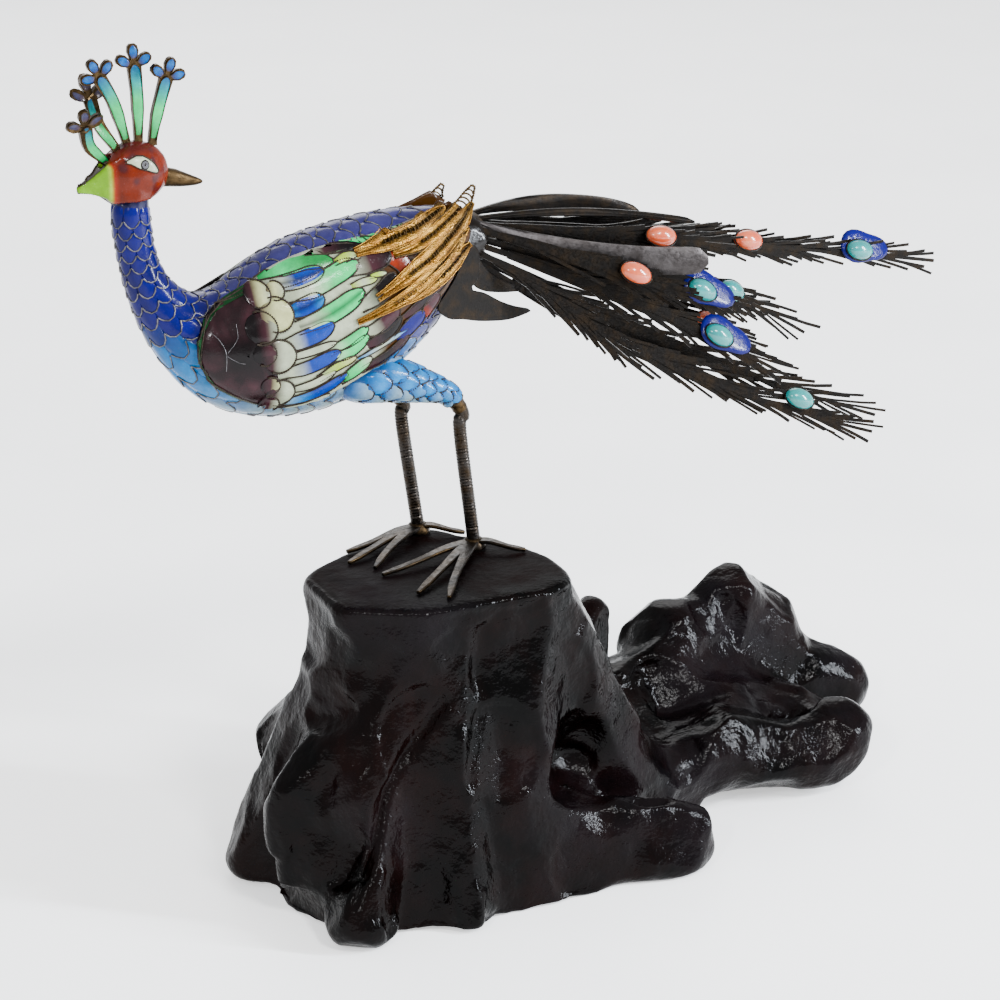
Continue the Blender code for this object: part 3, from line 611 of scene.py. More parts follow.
def leaf_width(t, root, tip):
    """A leaf's width as a share of its widest, from its root at 0 to its round tip at 1; a disc if root is 0."""
    if root == 0.0:
        return math.sqrt(max(0.0, 1.0 - (2.0 * t - 1.0) ** 2))
    swell = root + (1.0 - root) * ease(0.0, 0.45, t)
    past = min(max((t - (1.0 - tip)) / tip, 0.0), 0.97)
    return swell * math.sqrt(1.0 - past * past)


def leaf(skin, place, spine, half, stops, out, lift, dome, root, tip, steps, rib=None):
    """A domed tile along a spine on a surface. Its rim dips into the ground. Gives its outline back."""
    fine = even_line(spine, 40)
    rows, shades, left, right = [], [], [], []
    for i in range(steps + 1):
        t = math.sin(0.5 * math.pi * i / steps) if root else 0.5 - 0.5 * math.cos(math.pi * i / steps)
        k = t * 40
        low = min(int(k), 39)
        spot = fine[low].lerp(fine[low + 1], k - low)
        along = (fine[min(low + 2, 40)] - fine[max(low - 1, 0)]).normalized()
        side = Vector((-along.y, along.x)) * half * leaf_width(t, root, tip)
        row, shade = [], []
        for share, high in LEAF_ACROSS:
            if i in (0, steps):
                high = LEAF_ACROSS[0][1]
            row.append(place(spot + side * share, lift + dome * high))
            tint = blend(stops, t)
            if rib is not None and abs(share) < 0.2:
                tint = tint.lerp(rib, 0.7)
            shade.append(tint)
        rows.append(row)
        shades.append(shade)
        left.append(place(spot + side, lift + 0.00014))
        right.append(place(spot - side, lift + 0.00014))
    skin.sheet(rows, shades, out)
    return left + right[::-1]


def side_place(tree, side, past=False):
    """Places side-view spots (x, z in mm) on the skin that is seen from that side."""
    way = Vector((0.0, -side, 0.0))

    def place(spot, height):
        start = Vector((spot.x * MM, side * 0.05, spot.y * MM))
        point, normal, _, _ = tree.ray_cast(start, way)
        if point is None:
            point, _, _, _ = tree.find_nearest(Vector((spot.x * MM, side * 0.009, spot.y * MM)))
            normal = Vector((0.0, side, 0.0))
            if past:
                point = Vector((spot.x * MM, point.y, spot.y * MM))
        if normal.y * side < 0.0:
            normal = -normal
        return point + normal * height

    return place


def flat(*pairs):
    """Side-view spots from pairs of numbers in mm."""
    return [Vector(pair) for pair in pairs]


# ---------------------------------------------------------------- scales

class Limb:
    """A round form that scales are laid on: a centre line and the skin round it."""

    def __init__(self, centres, item):
        self.line = even_line(centres, 80)
        self.length = line_length(self.line)
        self.tree = tree_of(item)

    def ways(self, s):
        """The centre, the way along and the way up at a distance along the line."""
        k = min(max(s / self.length, 0.0), 0.9999) * 80
        low = int(k)
        along = (self.line[min(low + 2, 80)] - self.line[max(low - 1, 0)]).normalized()
        return self.line[low].lerp(self.line[low + 1], k - low), along.cross(Vector((0, 1, 0))).normalized()

    def place(self, s, angle, height):
        """A point on the skin, at a distance along and an angle from the top, lifted by height."""
        centre, up = self.ways(s)
        way = up * math.cos(angle) + Vector((0, 1, 0)) * math.sin(angle)
        point, normal, _, _ = self.tree.ray_cast(centre, way)
        if point is None:
            return centre + way * 0.003
        if normal.dot(way) < 0.0:
            normal = -normal
        return point + normal * height

    def radius(self, s):
        """The mean radius of the skin round the centre line."""
        centre, _ = self.ways(s)
        return sum((self.place(s, k * math.pi / 4, 0.0) - centre).length for k in range(8)) / 8


ROW_PITCH = 0.74


def lay_scales(skin, strands, limb, first, last, width, wire, dome, tints, skip):
    """Rows of overlapping round-ended scales along a limb."""
    s, row = first, 0
    while s < last:
        wide = width(s)
        radius = limb.radius(s + wide / 2)
        count = max(5, round(2 * math.pi * radius / wide))
        for k in range(count):
            angle = 2 * math.pi * (k + 0.5 * (row % 2)) / count

            def place(spot, height):
                rise = height + 0.00016 * ease(0.0, 1.0, spot.x / (1.5 * wide))
                return limb.place(s + spot.x, angle + spot.y / radius, rise)

            centre = place(Vector((0.8 * wide, 0.0)), 0.0)
            if skip(centre):
                continue
            stops = tints(centre, limb.ways(s)[0])
            outline = leaf(skin, place, [Vector((0, 0)), Vector((0.7 * wide, 0)), Vector((1.42 * wide, 0))],
                           0.54 * wide, stops, lambda spot: spot - limb.ways(s)[0], 0.0, dome, 0.85, 0.55, 6)
            strands.append((outline[3:-3], wire))
        s += wide * ROW_PITCH
        row += 1


# ---------------------------------------------------------------- body

# The middle line from the neck's top to the tail's root: (x, z above the rock's top) in mm
BODY_LINE = [(-62.4, 77.0), (-62.8, 74.0), (-62.3, 68.0), (-61.2, 62.5), (-59.2, 57.5), (-55.4, 52.2),
             (-50.6, 49.2), (-44.2, 47.6), (-34.5, 48.2), (-25.0, 49.4), (-16.0, 52.1), (-8.0, 55.5),
             (-2.0, 58.2), (3.0, 60.6), (6.8, 61.8)]
# The rounded boss at the tail's root: its place (x, z above the rock's top) and its three radii in mm
ROOT_BOSS = ((5.0, 62.2), (3.4, 4.3, 4.6))


def body_stops(point, centre):
    """A body scale's colours: cobalt on the neck, violet on the back and sky to white below."""
    z = (point.z - TOP) / MM
    below = (centre.z - point.z) / MM
    sky = ease(53.0, 46.0, z + 0.12 * (point.x / MM + 62.0))
    shade = 1.0 + 0.5 * noise.noise(point / MM * 0.9)
    neck = ease(-0.044, -0.052, point.x)
    root = enamel("cobalt").lerp(enamel("violet"), 0.7 * (1.0 - neck)) * shade
    tip = enamel("violet").lerp(enamel("cobalt") * 0.75, neck) * shade
    white = ease(5.0, 16.0, below) * ease(-0.056, -0.048, point.x)
    root = root.lerp(enamel("sky"), sky)
    tip = tip.lerp(enamel("pale_sky"), sky)
    return [root, root.lerp(tip.lerp(enamel("milk"), 0.75 * white), 0.5), tip.lerp(enamel("milk"), 0.8 * white)]


def build_body(sizes):
    """The body's smooth shell, its enamel scales and the wires between them."""
    shell = refined("body", "body_shell", enamel_finish(), levels=2)

    def ground(spot, normal):
        under = (enamel("violet") * 0.35).lerp(enamel("sky") * 0.4, ease(TOP / MM + 52, TOP / MM + 44, spot.z))
        return under.lerp(metal("amber") * 0.015, ease(-2.0, 0.5, spot.x))

    paint(shell, ground)
    limb = Limb([above(x, 0.0, z) for x, z in BODY_LINE], shell)
    wings = {side: tree_of(bpy.data.objects["wing_" + name]) for name, side in SIDES.items()}

    def covered(point):
        side = 1.0 if point.y > 0.0 else -1.0
        for dx, dz in ((-4, 0), (4, 0), (0, -3.5), (0, 3.5)):
            start = point + Vector((dx * MM, 0.0, dz * MM))
            if wings[side].ray_cast(start, Vector((0, side, 0)))[0] is None:
                return False
        return True

    def width(s):
        return sizes.neck_scale + (sizes.body_scale - sizes.neck_scale) * ease(0.008, 0.032, s)

    skin, strands = Skin(), []
    lay_scales(skin, strands, limb, 1.0 * MM, limb.length - 9.0 * MM, width, sizes.scale_wire, sizes.tile_dome,
               body_stops, covered)
    settle(shell, "blue_enamel", "body")
    settle(skin.piece("body_scales", enamel_finish()), "blue_enamel")
    settle(wires("body_wires", strands, pale_wire()), "dark_wire")
    bpy.ops.object.select_all(action="DESELECT")
    bpy.ops.mesh.primitive_uv_sphere_add(segments=32, ring_count=16, radius=1.0, location=(0.0, 0.0, 0.0))
    boss = bpy.context.active_object
    boss.name = "tail_root_boss"
    bpy.ops.transform.resize(value=tuple(size * MM for size in ROOT_BOSS[1]))
    bpy.ops.transform.translate(value=(ROOT_BOSS[0][0] * MM, 0.0, TOP + ROOT_BOSS[0][1] * MM))
    bpy.ops.object.transform_apply(location=True, rotation=True, scale=True)
    bpy.ops.object.shade_smooth()
    boss.data.materials.append(dark_wire())
    settle(boss, "dark_wire")


# ---------------------------------------------------------------- wings

# Feathers of the wing's front and middle, nearest the tail first: spine (x, z) and half width in mm, colours
# from root to tip, and how the rim is drawn
WING_TILES = [
    ([(-18.0, 132.9), (-14.5, 132.8), (-11.3, 132.1)], 0.7, "mint milk mint", "plain"),
    ([(-21.3, 131.8), (-17.5, 131.7), (-13.9, 131.3)], 0.8, "mint mint milk", "plain"),
    ([(-27.1, 130.7), (-22.8, 131.0), (-19.1, 130.1)], 0.8, "milk mint mint", "plain"),
    ([(-31.7, 129.4), (-28.3, 129.7), (-24.3, 130.0), (-20.4, 129.9)], 1.0, "milk wine plum plum", "plain"),
    ([(-14.0, 115.8), (-9.5, 118.4), (-3.6, 121.8)], 1.0, "wine plum wine", "plain"),
    ([(-8.9, 114.9), (-8.1, 116.8), (-5.7, 119.4)], 1.4, "coral wine wine", "plain"),
    ([(-15.3, 111.6), (-12.6, 113.7), (-9.0, 116.3)], 1.6, "cobalt cobalt cobalt", "plain"),
    ([(-22.5, 106.9), (-16.7, 109.0), (-12.4, 112.2)], 1.1, "wine plum wine", "plain"),
    ([(-21.9, 111.6), (-17.8, 113.3), (-14.4, 116.3)], 1.3, "wine plum plum", "plain"),
    ([(-24.0, 109.2), (-19.8, 110.8), (-16.2, 112.3), (-12.8, 113.6)], 0.5, "pale_sky milk pale_sky", "plain"),
    ([(-22.0, 114.4), (-19.0, 115.2), (-16.8, 116.4), (-14.9, 118.0)], 1.5, "milk wine wine", "twist"),
    ([(-26.8, 105.2), (-23.6, 107.2), (-20.6, 109.3)], 1.3, "leaf mint milk", "twist"),
    ([(-28.9, 110.0), (-24.8, 111.4), (-21.5, 113.9)], 1.2, "milk mint mint", "twist"),
    ([(-28.9, 112.2), (-25.3, 113.3), (-21.6, 115.4)], 1.1, "milk mint mint", "twist"),
    ([(-16.2, 127.7), (-13.3, 126.2), (-11.9, 123.2)], 1.7, "coral red red", "plain"),
    ([(-22.9, 119.4), (-19.9, 120.7), (-17.3, 122.3), (-15.2, 124.5)], 1.6, "milk plum plum", "twist"),
    ([(-24.1, 126.1), (-21.2, 126.7), (-18.4, 127.3), (-15.4, 127.9)], 1.7, "milk wine plum", "twist"),
    ([(-20.6, 124.5), (-18.8, 124.8), (-16.9, 124.9)], 0.5, "lemon lemon milk", "plain"),
    ([(-24.3, 123.2), (-21.8, 123.8), (-19.0, 124.1)], 0.7, "lemon milk lemon", "plain"),
    ([(-26.6, 127.4), (-23.8, 128.3), (-21.2, 128.1)], 0.7, "lemon lemon milk", "twist"),
    ([(-35.5, 116.8), (-30.0, 118.4), (-25.9, 120.2), (-21.9, 122.4)], 1.8, "milk milk mint mint mint", "rib"),
    ([(-37.2, 122.6), (-32.2, 123.4), (-27.9, 125.1), (-24.8, 126.3), (-22.0, 127.2)], 1.7,
     "milk milk mint mint", "twist"),
    ([(-31.4, 106.4), (-27.6, 108.6), (-23.9, 109.9)], 0.9, "milk lemon cream", "twist"),
    ([(-38.4, 100.2), (-33.0, 100.6), (-28.4, 102.6)], 0.8, "milk milk milk", "plain"),
    ([(-37.2, 104.6), (-32.5, 105.4), (-28.0, 107.6)], 0.9, "milk milk milk", "plain"),
    ([(-38.4, 101.8), (-33.4, 102.6), (-29.6, 104.1), (-25.4, 106.7)], 1.1, "milk pale_sky blue blue blue", "plain"),
    ([(-38.0, 111.2), (-32.8, 112.2), (-28.0, 113.4)], 0.8, "milk milk milk", "plain"),
    ([(-38.6, 108.2), (-34.1, 108.9), (-30.8, 110.0), (-27.2, 111.6)], 1.4, "milk milk blue blue blue", "plain"),
    ([(-38.8, 113.4), (-34.1, 114.7), (-31.6, 115.5), (-28.4, 117.0)], 1.7, "milk milk blue blue blue", "plain"),
    ([(-37.0, 119.6), (-34.0, 120.4), (-29.8, 121.9)], 1.6, "pale_sky blue blue pale_sky", "rib"),
    ([(-39.6, 124.4), (-35.5, 124.8), (-32.4, 125.5), (-28.9, 126.5)], 1.4, "milk milk blue blue blue", "rib"),
    ([(-41.4, 125.3), (-35.5, 127.3), (-31.7, 128.1), (-26.6, 127.7)], 1.5, "leaf mint leaf leaf", "point"),
]
# Round scallops behind the shoulder, nearest the tail first: centre (x, z), radius in mm, colours
SCALLOPS = [
    ((-38.6, 104.6), 2.7, "plum wine milk milk"), ((-40.6, 106.2), 1.8, "plum wine cream"),
    ((-39.2, 111.9), 3.2, "plum wine milk milk"), ((-38.9, 119.4), 3.0, "wine cream cream"),
    ((-38.4, 123.4), 1.6, "wine cream milk"), ((-41.6, 122.9), 2.3, "plum wine cream milk"),
    ((-42.0, 117.2), 2.9, "plum plum wine milk"), ((-41.8, 112.6), 2.2, "plum plum wine wine"),
    ((-40.4, 102.2), 1.9, "plum wine milk"),
]
# The dark shield's edge and the green strip in front of it, in mm
SHIELD = [(-41.8, 124.8), (-45.0, 123.2), (-48.6, 121.8), (-51.0, 119.6), (-52.6, 115.6), (-53.1, 111.2),
          (-51.6, 107.6), (-48.6, 105.1), (-44.6, 102.8), (-40.6, 101.2), (-38.4, 101.4), (-38.4, 105.0),
          (-39.4, 109.0), (-39.6, 113.0), (-40.2, 117.0), (-40.2, 121.4)]
STRIP = [(-42.9, 125.2), (-47.6, 123.0), (-50.6, 121.4), (-52.5, 118.0), (-53.6, 114.4), (-53.8, 111.2),
         (-52.6, 107.8), (-49.9, 105.4), (-46.5, 103.2), (-41.4, 101.0), (-36.7, 99.9)]
# The strip's section: places across it and heights in mm
STRIP_ACROSS = ((-0.75, -0.1), (-0.5, 0.2), (0.0, 0.34), (0.5, 0.2), (0.75, -0.1))
SHIELD_LINES = [[(-51.0, 116.8), (-49.6, 115.4), (-48.7, 113.2), (-48.7, 109.8)],
                [(-46.3, 118.0), (-46.5, 115.6), (-48.4, 113.2)], [(-48.5, 112.6), (-46.6, 111.4), (-45.4, 111.0)]]
# Gilt filigree feathers at the wing's rear: spine (x, z) and half width in mm
GOLD = [
    ([(-22.2, 128.6), (-15.8, 130.0), (-9.1, 131.9), (-3.2, 135.2)], 1.8),
    ([(-15.6, 118.6), (-10.0, 120.6), (-4.0, 123.6), (1.4, 127.6)], 1.5),
    ([(-19.4, 120.6), (-13.0, 123.6), (-6.4, 126.8), (-0.6, 131.0), (2.6, 135.4)], 1.8),
    ([(-14.9, 127.8), (-10.1, 128.7), (-4.6, 131.0), (-0.2, 134.4), (2.8, 138.6)], 1.7),
    ([(-23.7, 116.7), (-17.8, 118.5), (-12.2, 120.7), (-5.1, 125.0), (1.4, 130.6)], 1.3),
]
# Which of them has an open tip, and the cut across the plate behind it: a point and the way past it
OPEN_TIP = 3
TIP_CUT = ((0.4, 0.0, 134.6), (0.55, 0.0, 0.83))
# How far the upper part of each wing's feathers is set up or down, in mm
WING_DROP = {"left": 0.0, "right": -3.0}


def wing_ground(spot, normal):
    """The colour between the wing's feathers: plum in front, cream in the middle, brown gold behind."""
    front = enamel("plum").lerp(enamel("milk"), ease(-42.5, -40.5, spot.x))
    rear = metal("amber") * 0.2
    return front.lerp(rear, ease(-21.0, -17.0, spot.x))


def build_wing(sizes, name):
    """A wing: its plate, shield, scallops, enamel feathers, gilt filigree tips and wires."""
    side = SIDES[name]
    plate = refined("wing_" + name, "wing_%s_plate" % name, enamel_finish(), levels=1)
    edit(plate, bpy.ops.mesh.bisect, plane_co=Vector(TIP_CUT[0]) * MM, plane_no=TIP_CUT[1], clear_outer=True,
         use_fill=True)
    paint(plate, wing_ground)
    tree = tree_of(plate)
    out = Vector((0.0, side, 0.0))

    def dropped(fit):
        return lambda spot, height: fit(
            Vector((spot.x, spot.y + WING_DROP[name] * ease(112.0, 122.0, spot.y))), height)

    place, stretch = dropped(side_place(tree, side)), dropped(side_place(tree, side, True))
    skin, fine, twists, silver = Skin(), [], [], []
    dome, wire = sizes.tile_dome, sizes.wing_wire
    for spine, half, names, rim in WING_TILES:
        stops = [enamel(word) for word in names.split()]
        rib = enamel("dark") if rim == "rib" else None
        edge = leaf(skin, place, flat(*spine), half, stops, out, 0.10 * MM, 1.3 * dome,
                    0.15 if rim == "point" else 0.7, 0.3, 9, rib)
        if rim in ("plain", "point"):
            fine.append((edge, 0.8 * wire))
        else:
            twists.append(twisted(edge, 0.9 * wire))
    for (x, z), radius, names in SCALLOPS:
        stops = [enamel(word) for word in names.split()]
        spine = flat((x - radius, z), (x, z), (x + radius, z))
        edge = leaf(skin, place, spine, radius, stops, out, 0.5 * MM, 1.2 * dome, 0.0, 0.5, 16)
        twists.append(twisted(edge[6:-6], wire))
    build_shield(skin, fine, silver, place, out, wire)
    settle(skin.piece("wing_%s_tiles" % name, enamel_finish()), "feather_enamel")
    gold, rails, loops = Skin(), [], []
    for number, (spine, half) in enumerate(GOLD):
        build_gold_feather(gold, rails, loops, stretch, out, spine, half, 0.80 if number == OPEN_TIP else 1.0)
    settle(gold.piece("wing_%s_gilt" % name, gold_finish()), "gilt_metal")
    rail_metal = metal_finish("bright_gilt", metal("gold") * 0.8, metal("amber"), (0.25, 0.45))
    settle(wires("wing_%s_filigree" % name, rails, rail_metal), "gilt_metal")
    settle(wires("wing_%s_loops" % name, loops, gilt()), "gilt_metal")
    settle(wires("wing_%s_wires" % name, fine + twists, dark_wire()), "dark_wire")
    settle(wires("wing_%s_shield_lines" % name, silver, pale_wire()), "dark_wire")
    settle(plate, "feather_enamel", "wing_" + name)


def build_shield(skin, fine, silver, place, out, wire):
    """The dark shield in front, its silver lines, and the green strip along its edge."""
    rim = even_line(flat(*(SHIELD + SHIELD[:1])), 36)[:-1]
    middle = sum(rim, Vector((0, 0))) / len(rim)
    rows, shades = [], []
    for share, high in ((1.0, -0.1), (0.95, 0.16), (0.8, 0.3), (0.6, 0.42), (0.4, 0.5), (0.2, 0.54), (0.03, 0.55)):
        row, shade = [], []
        for spot in rim:
            at = middle + (spot - middle) * share
            bulge = 0.14 * noise.noise(Vector((at.x, at.y, 0.0)) * 0.45)
            row.append(place(at, (high + bulge * share) * MM))
            glow = ease(-0.2, 0.4, noise.noise(Vector((at.x * 0.4, at.y * 0.4, 3.0))))
            far = ease(1.5, 7.5, (at - Vector((-45.8, 112.6))).length)
            shade.append(enamel("plum").lerp(enamel("wine"), (0.25 + 0.75 * glow) * far))
        rows.append(row)
        shades.append(shade)
    skin.sheet(rows, shades, out, closed=True)
    for points in SHIELD_LINES:
        silver.append(([place(spot, 0.58 * MM) for spot in even_line(flat(*points), 10)], 0.35 * wire))
    edge = even_line(flat(*STRIP), 40)
    rows, shades = [], []
    for i, spot in enumerate(edge):
        across = across_at(edge, i)
        rows.append([place(spot + across * a, h * MM) for a, h in STRIP_ACROSS])
        tint = enamel("leaf") * (0.16 + 0.14 * noise.noise(Vector((i * 0.5, 0, 0))))
        shades.append([tint] * 5)
    skin.sheet(rows, shades, out)
    for a in (-0.75, 0.75):
        line = [place(spot + across_at(edge, i) * a, 0.12 * MM) for i, spot in enumerate(edge)]
        fine.append(twisted(line, 0.8 * wire))


LOOP_PITCH = 0.8


def build_gold_feather(gold, rails, loops, place, out, spine, half, shut):
    """One gilt feather: a granulated plate with a row of loops along its middle, over a band painted near black for
    the shade seen through open holes, and a pointed tip.
    """
    fine = even_line(flat(*spine), 48)
    total = line_length(fine)
    rows, shades, left, right = [], [], [], []
    for i, spot in enumerate(fine):
        t = i / 48
        across = across_at(fine, i) * half * leaf_width(t, 0.4, 0.4)
        high = 0.40 + 0.45 * ease(0.0, 0.6, t)
        if i % 2 == 0 and t <= shut:
            row, shade = [], []
            for a, h in ((-1.0, -0.5), (-0.9, 0.14), (-0.6, 0.34), (-0.26, 0.16), (-0.14, -0.05), (0.14, -0.05),
                         (0.26, 0.16), (0.6, 0.34), (0.9, 0.14), (1.0, -0.5)):
                row.append(place(spot + across * a, (high + h) * MM))
                tone = 0.5 + 0.8 * noise.noise(Vector((spot.x, spot.y, 2.0 * a)) * 0.7)
                tint = metal("gold").lerp(metal("amber"), min(1.0, max(0.0, tone)))
                tint = tint.lerp(metal("bronze") * 1.6, 0.75 * ease(0.4, 0.95, t) * ease(0.95, 0.5, abs(a)))
                # The middle band is painted near black: painted shade where the real feather has a row of open holes.
                shade.append(tint * (0.06 if abs(a) < 0.2 and t > 0.25 else 1.0))
            rows.append(row)
            shades.append(shade)
        left.append(place(spot + across, (high + 0.12) * MM))
        right.append(place(spot - across, (high + 0.12) * MM))
    gold.sheet(rows, shades, out)
    (rails if shut == 1.0 else loops).append(twisted(left + right[::-1], (0.13 if shut == 1.0 else 0.26) * MM))
    count = int(total * 0.7 / LOOP_PITCH)
    for k in range(count):
        t = 0.28 + 0.68 * (k + 0.5) / count
        i = min(47, int(t * 48))
        along = (fine[i + 1] - fine[i]).normalized()
        wide = 0.3 if t < shut else 0.85
        across = Vector((-along.y, along.x)) * wide * half * leaf_width(t, 0.4, 0.4)
        ring = []
        for a in range(7):
            angle = math.pi * (a / 6 - 0.5)
            spot = fine[i] + along * 0.5 * math.cos(angle) + across * math.sin(angle)
            ring.append(place(spot, (0.5 + 0.45 * ease(0.0, 0.6, t)) * MM))
        loops.append((ring, (0.09 if t < shut else 0.2) * MM))


# ---------------------------------------------------------------- head, beak and crest

# The eye's middle line and the middle of its pupil: (x, z) in mm
EYE = [(-64.4, 149.2), (-62.2, 149.2), (-60.2, 148.4), (-58.5, 147.0)]
PUPIL = Vector((-60.9, 148.55))
# Crest strips: base, middle and tip (x, z above the rock's top) in mm, and how far the tip stands aside
CREST = [
    ((-57.9, 87.2), (-56.8, 92.6), (-55.2, 98.6), -1.2), ((-60.6, 87.8), (-60.4, 94.8), (-60.6, 101.0), 0.8),
    ((-63.0, 87.4), (-65.2, 94.6), (-68.0, 99.8), -1.6), ((-65.0, 86.2), (-67.4, 90.4), (-68.0, 94.8), 4.6),
    ((-66.8, 83.8), (-70.2, 87.2), (-71.6, 91.4), -3.6),
]
# The widths of a lobe's gilt channel from its foot to its end, in mm
LOBE_WIDTHS = (1.3, 1.3, 2.2, 1.8, 0.9)
# The beak's middle line and radius: (x, z above the rock's top, radius) in mm
BEAK = [(-56.4, 79.9, 1.75), (-55.4, 79.85, 1.8), (-54.2, 79.6, 1.7), (-52.8, 79.2, 1.45), (-51.2, 78.8, 1.1),
        (-49.8, 78.5, 0.75), (-48.9, 78.35, 0.42), (-48.6, 78.3, 0.16)]


def head_tint(spot, normal):
    """Red head with maroon clouds, a brown top and a lime flap with a brown edge."""
    cloud = noise.noise(Vector((spot.x, spot.y, spot.z)) * 0.55)
    tint = enamel("red").lerp(enamel("wine"), ease(0.0, 0.5, cloud) * 0.8)
    tint = tint.lerp(enamel("wine") * 0.9, 0.6 * ease(149.5, 151.5, spot.z))
    tint = tint.lerp(enamel("coral") * 0.7, 0.3 * ease(-59.5, -57.0, spot.x))
    lime = ease(-65.2, -68.6, spot.x) * ease(150.0, 147.8, spot.z)
    tint = blend([tint, enamel("coral"), enamel("lemon"), enamel("lime"), enamel("lime")], lime)
    edge = ease(0.55, 0.2, abs(normal.y)) * ease(-66.0, -67.5, spot.x)
    return tint.lerp(metal("bronze") * 0.4, edge)


def build_head():
    """The head's enamel cap with its almond eyes."""
    head = refined("head", "head_cap", enamel_finish(), voxel=0.26 * MM, smooth=6, quads=False)
    places, _ = skin_of(head)
    for place in places:
        t = ease(-66.4, -72.2, place.x / MM)
        line = (144.9 - 0.6 * t) * MM
        place.z = line + (place.z - line) * (1.0 - 0.72 * t) + 0.9 * MM * t * (1.0 - t)
        place.x -= 0.7 * MM * t * t
        place.y *= 1.0 - 0.35 * t
    reshape(head, places)
    paint(head, head_tint)
    tree = tree_of(head)
    skin, lines = Skin(), []
    for side in SIDES.values():
        place, out = side_place(tree, side), Vector((0.0, side, 0.0))
        white = enamel("milk") * 1.15
        edge = leaf(skin, place, flat(*EYE), 1.2, [white] * 3, out, 0.04 * MM, 0.14 * MM, 0.12, 0.85, 10)
        lines.append((edge, 0.13 * MM))
        for radius, tone, high in ((0.92, enamel("dark"), 0.20), (0.74, Vector((0.07, 0.07, 0.075)), 0.26),
                                   (0.30, enamel("dark"), 0.31)):
            rows = []
            for share, lift in ((1.0, -0.1), (0.8, 0.05), (0.05, 0.1)):
                ring = []
                for k in range(14):
                    angle = 2 * math.pi * k / 14
                    spot = PUPIL + Vector((math.cos(angle), math.sin(angle))) * radius * share
                    ring.append(place(spot, (high + lift) * MM))
                rows.append(ring)
            skin.sheet(rows, [[tone] * 14] * 3, out, closed=True)
    settle(head, "red_enamel", "head")
    rim = []
    for k in range(15):
        x = -66.6 + (min(p.x for p in places) / MM + 66.7) * k / 14
        near = [p for p in places if abs(p.x / MM - x) < 0.25]
        rim.append((max(near, key=lambda p: p.z), min(near, key=lambda p: p.z)))
    outline = [top for top, _ in rim] + [low for _, low in rim[::-1]]
    lines.append(twisted(outline, 0.24 * MM))
    settle(skin.piece("eyes", enamel_finish()), "red_enamel")
    settle(wires("eye_rims", lines, dark_wire()), "dark_wire")
    beak = Skin()
    beak.tube([above(x, 0.0, z) for x, z, _ in BEAK], [radius * MM for _, _, radius in BEAK], 20, 0.82)
    settle(beak.piece("beak_cone", gilt()), "gilt_metal", "beak")


def build_crest(sizes):
    """Five crest strips in gilt channels, each with three lobes of blue enamel."""
    metal_skin, tiles, rims = Skin(), Skin(), []
    half = sizes.crest_width / 2 / MM
    for number, (base, middle, tip, aside) in enumerate(CREST):
        spine = flat((base[0], base[1] - 1.2), base, middle, tip)
        root_z, tip_z = base[1], tip[1]

        def depth(spot):
            return aside * max(0.0, (spot.y - root_z) / (tip_z - root_z)) ** 1.4

        fine = even_line(spine, 14)
        points = [above(p.x, depth(p), p.y) for p in fine]
        widths = [2 * half * MM * (0.66 + 0.5 * i / 14) for i in range(15)]
        sideways = (fine[-1] - fine[0]).orthogonal().normalized()
        way = Vector((sideways.x, 0.0, sideways.y))
        metal_skin.bar(points, widths, 0.9 * MM, way)
        end = fine[-1]
        course = (fine[-1] - fine[-3]).normalized()
        lobes = []
        for angle in (-60, 0, 60):
            turn = Matrix.Rotation(math.radians(angle), 2)
            reach = turn @ course
            start = end - course * 0.4 + reach * (0.9 if angle else 1.3)
            lobes.append((start, start + reach * 2.6))
            middle_line = [start - reach * 1.3, start, start + reach * 1.4, start + reach * 2.4, start + reach * 2.8]
            lobe = [above(p.x, depth(p), p.y) for p in middle_line]
            across = Vector((-reach.y, 0.0, reach.x))
            metal_skin.bar(lobe, [width * MM for width in LOBE_WIDTHS], 0.8 * MM, across)
        worn = number > 2
        old = metal("bronze") * 0.5 if worn else enamel("sky")
        stops = [enamel("leaf"), enamel("mint") * 0.8, enamel("mint"), enamel("sky").lerp(enamel("mint"), 0.4),
                 enamel("sky").lerp(old, 0.5) * 0.8]
        if worn:
            blue = metal("bronze").lerp(enamel("violet"), 0.4)
        else:
            blue = enamel("sky").lerp(enamel("blue"), 0.5)
        tones = [metal("bronze"), blue * 0.8, blue.lerp(enamel("pale_sky"), 0.1 if worn else 0.4), blue * 0.6]
        for face in (-1.0, 1.0):
            out = Vector((0.0, face, 0.0))

            def place(spot, height):
                return Vector((spot.x * MM, depth(spot) * MM + face * (0.45 * MM + height), TOP + spot.y * MM))

            edge = leaf(tiles, place, fine[1:], 0.88 * half, stops, out, 0.02 * MM, 0.14 * MM, 0.55, 0.12, 12)
            rims.append((edge, 0.09 * MM))
            for start, finish_point in lobes:
                edge = leaf(tiles, place, [start, start.lerp(finish_point, 0.5), finish_point], 0.84, tones, out,
                            0.0, 0.22 * MM, 0.6, 0.5, 7)
                rims.append((edge, 0.12 * MM))
    nodes = ["crest_%d" % k for k in range(1, 6)]
    settle(metal_skin.piece("crest_channels", gilt()), "gilt_metal", *nodes)
    settle(tiles.piece("crest_enamel", enamel_finish()), "mint_enamel")
    settle(wires("crest_rims", rims, gilt()), "gilt_metal")


# ---------------------------------------------------------------- legs and feet

# Each leg's hock (x, y, z above the rock's top) and ankle (x, y), and the tips of the toes (x, y), in mm
LEGS = {"left": ((-1.2, -6.2, 31.5), (3.0, -6.5)), "right": ((-8.4, 6.0, 30.6), (-3.6, 6.0))}
TOES = {"left": [(-19.4, -13.1), (-16.9, -24.6), (-12.6, -29.4), (11.4, -12.6)],
        "right": [(-21.0, 1.2), (-22.9, -4.6), (-19.3, -9.2), (4.6, 1.4)]}
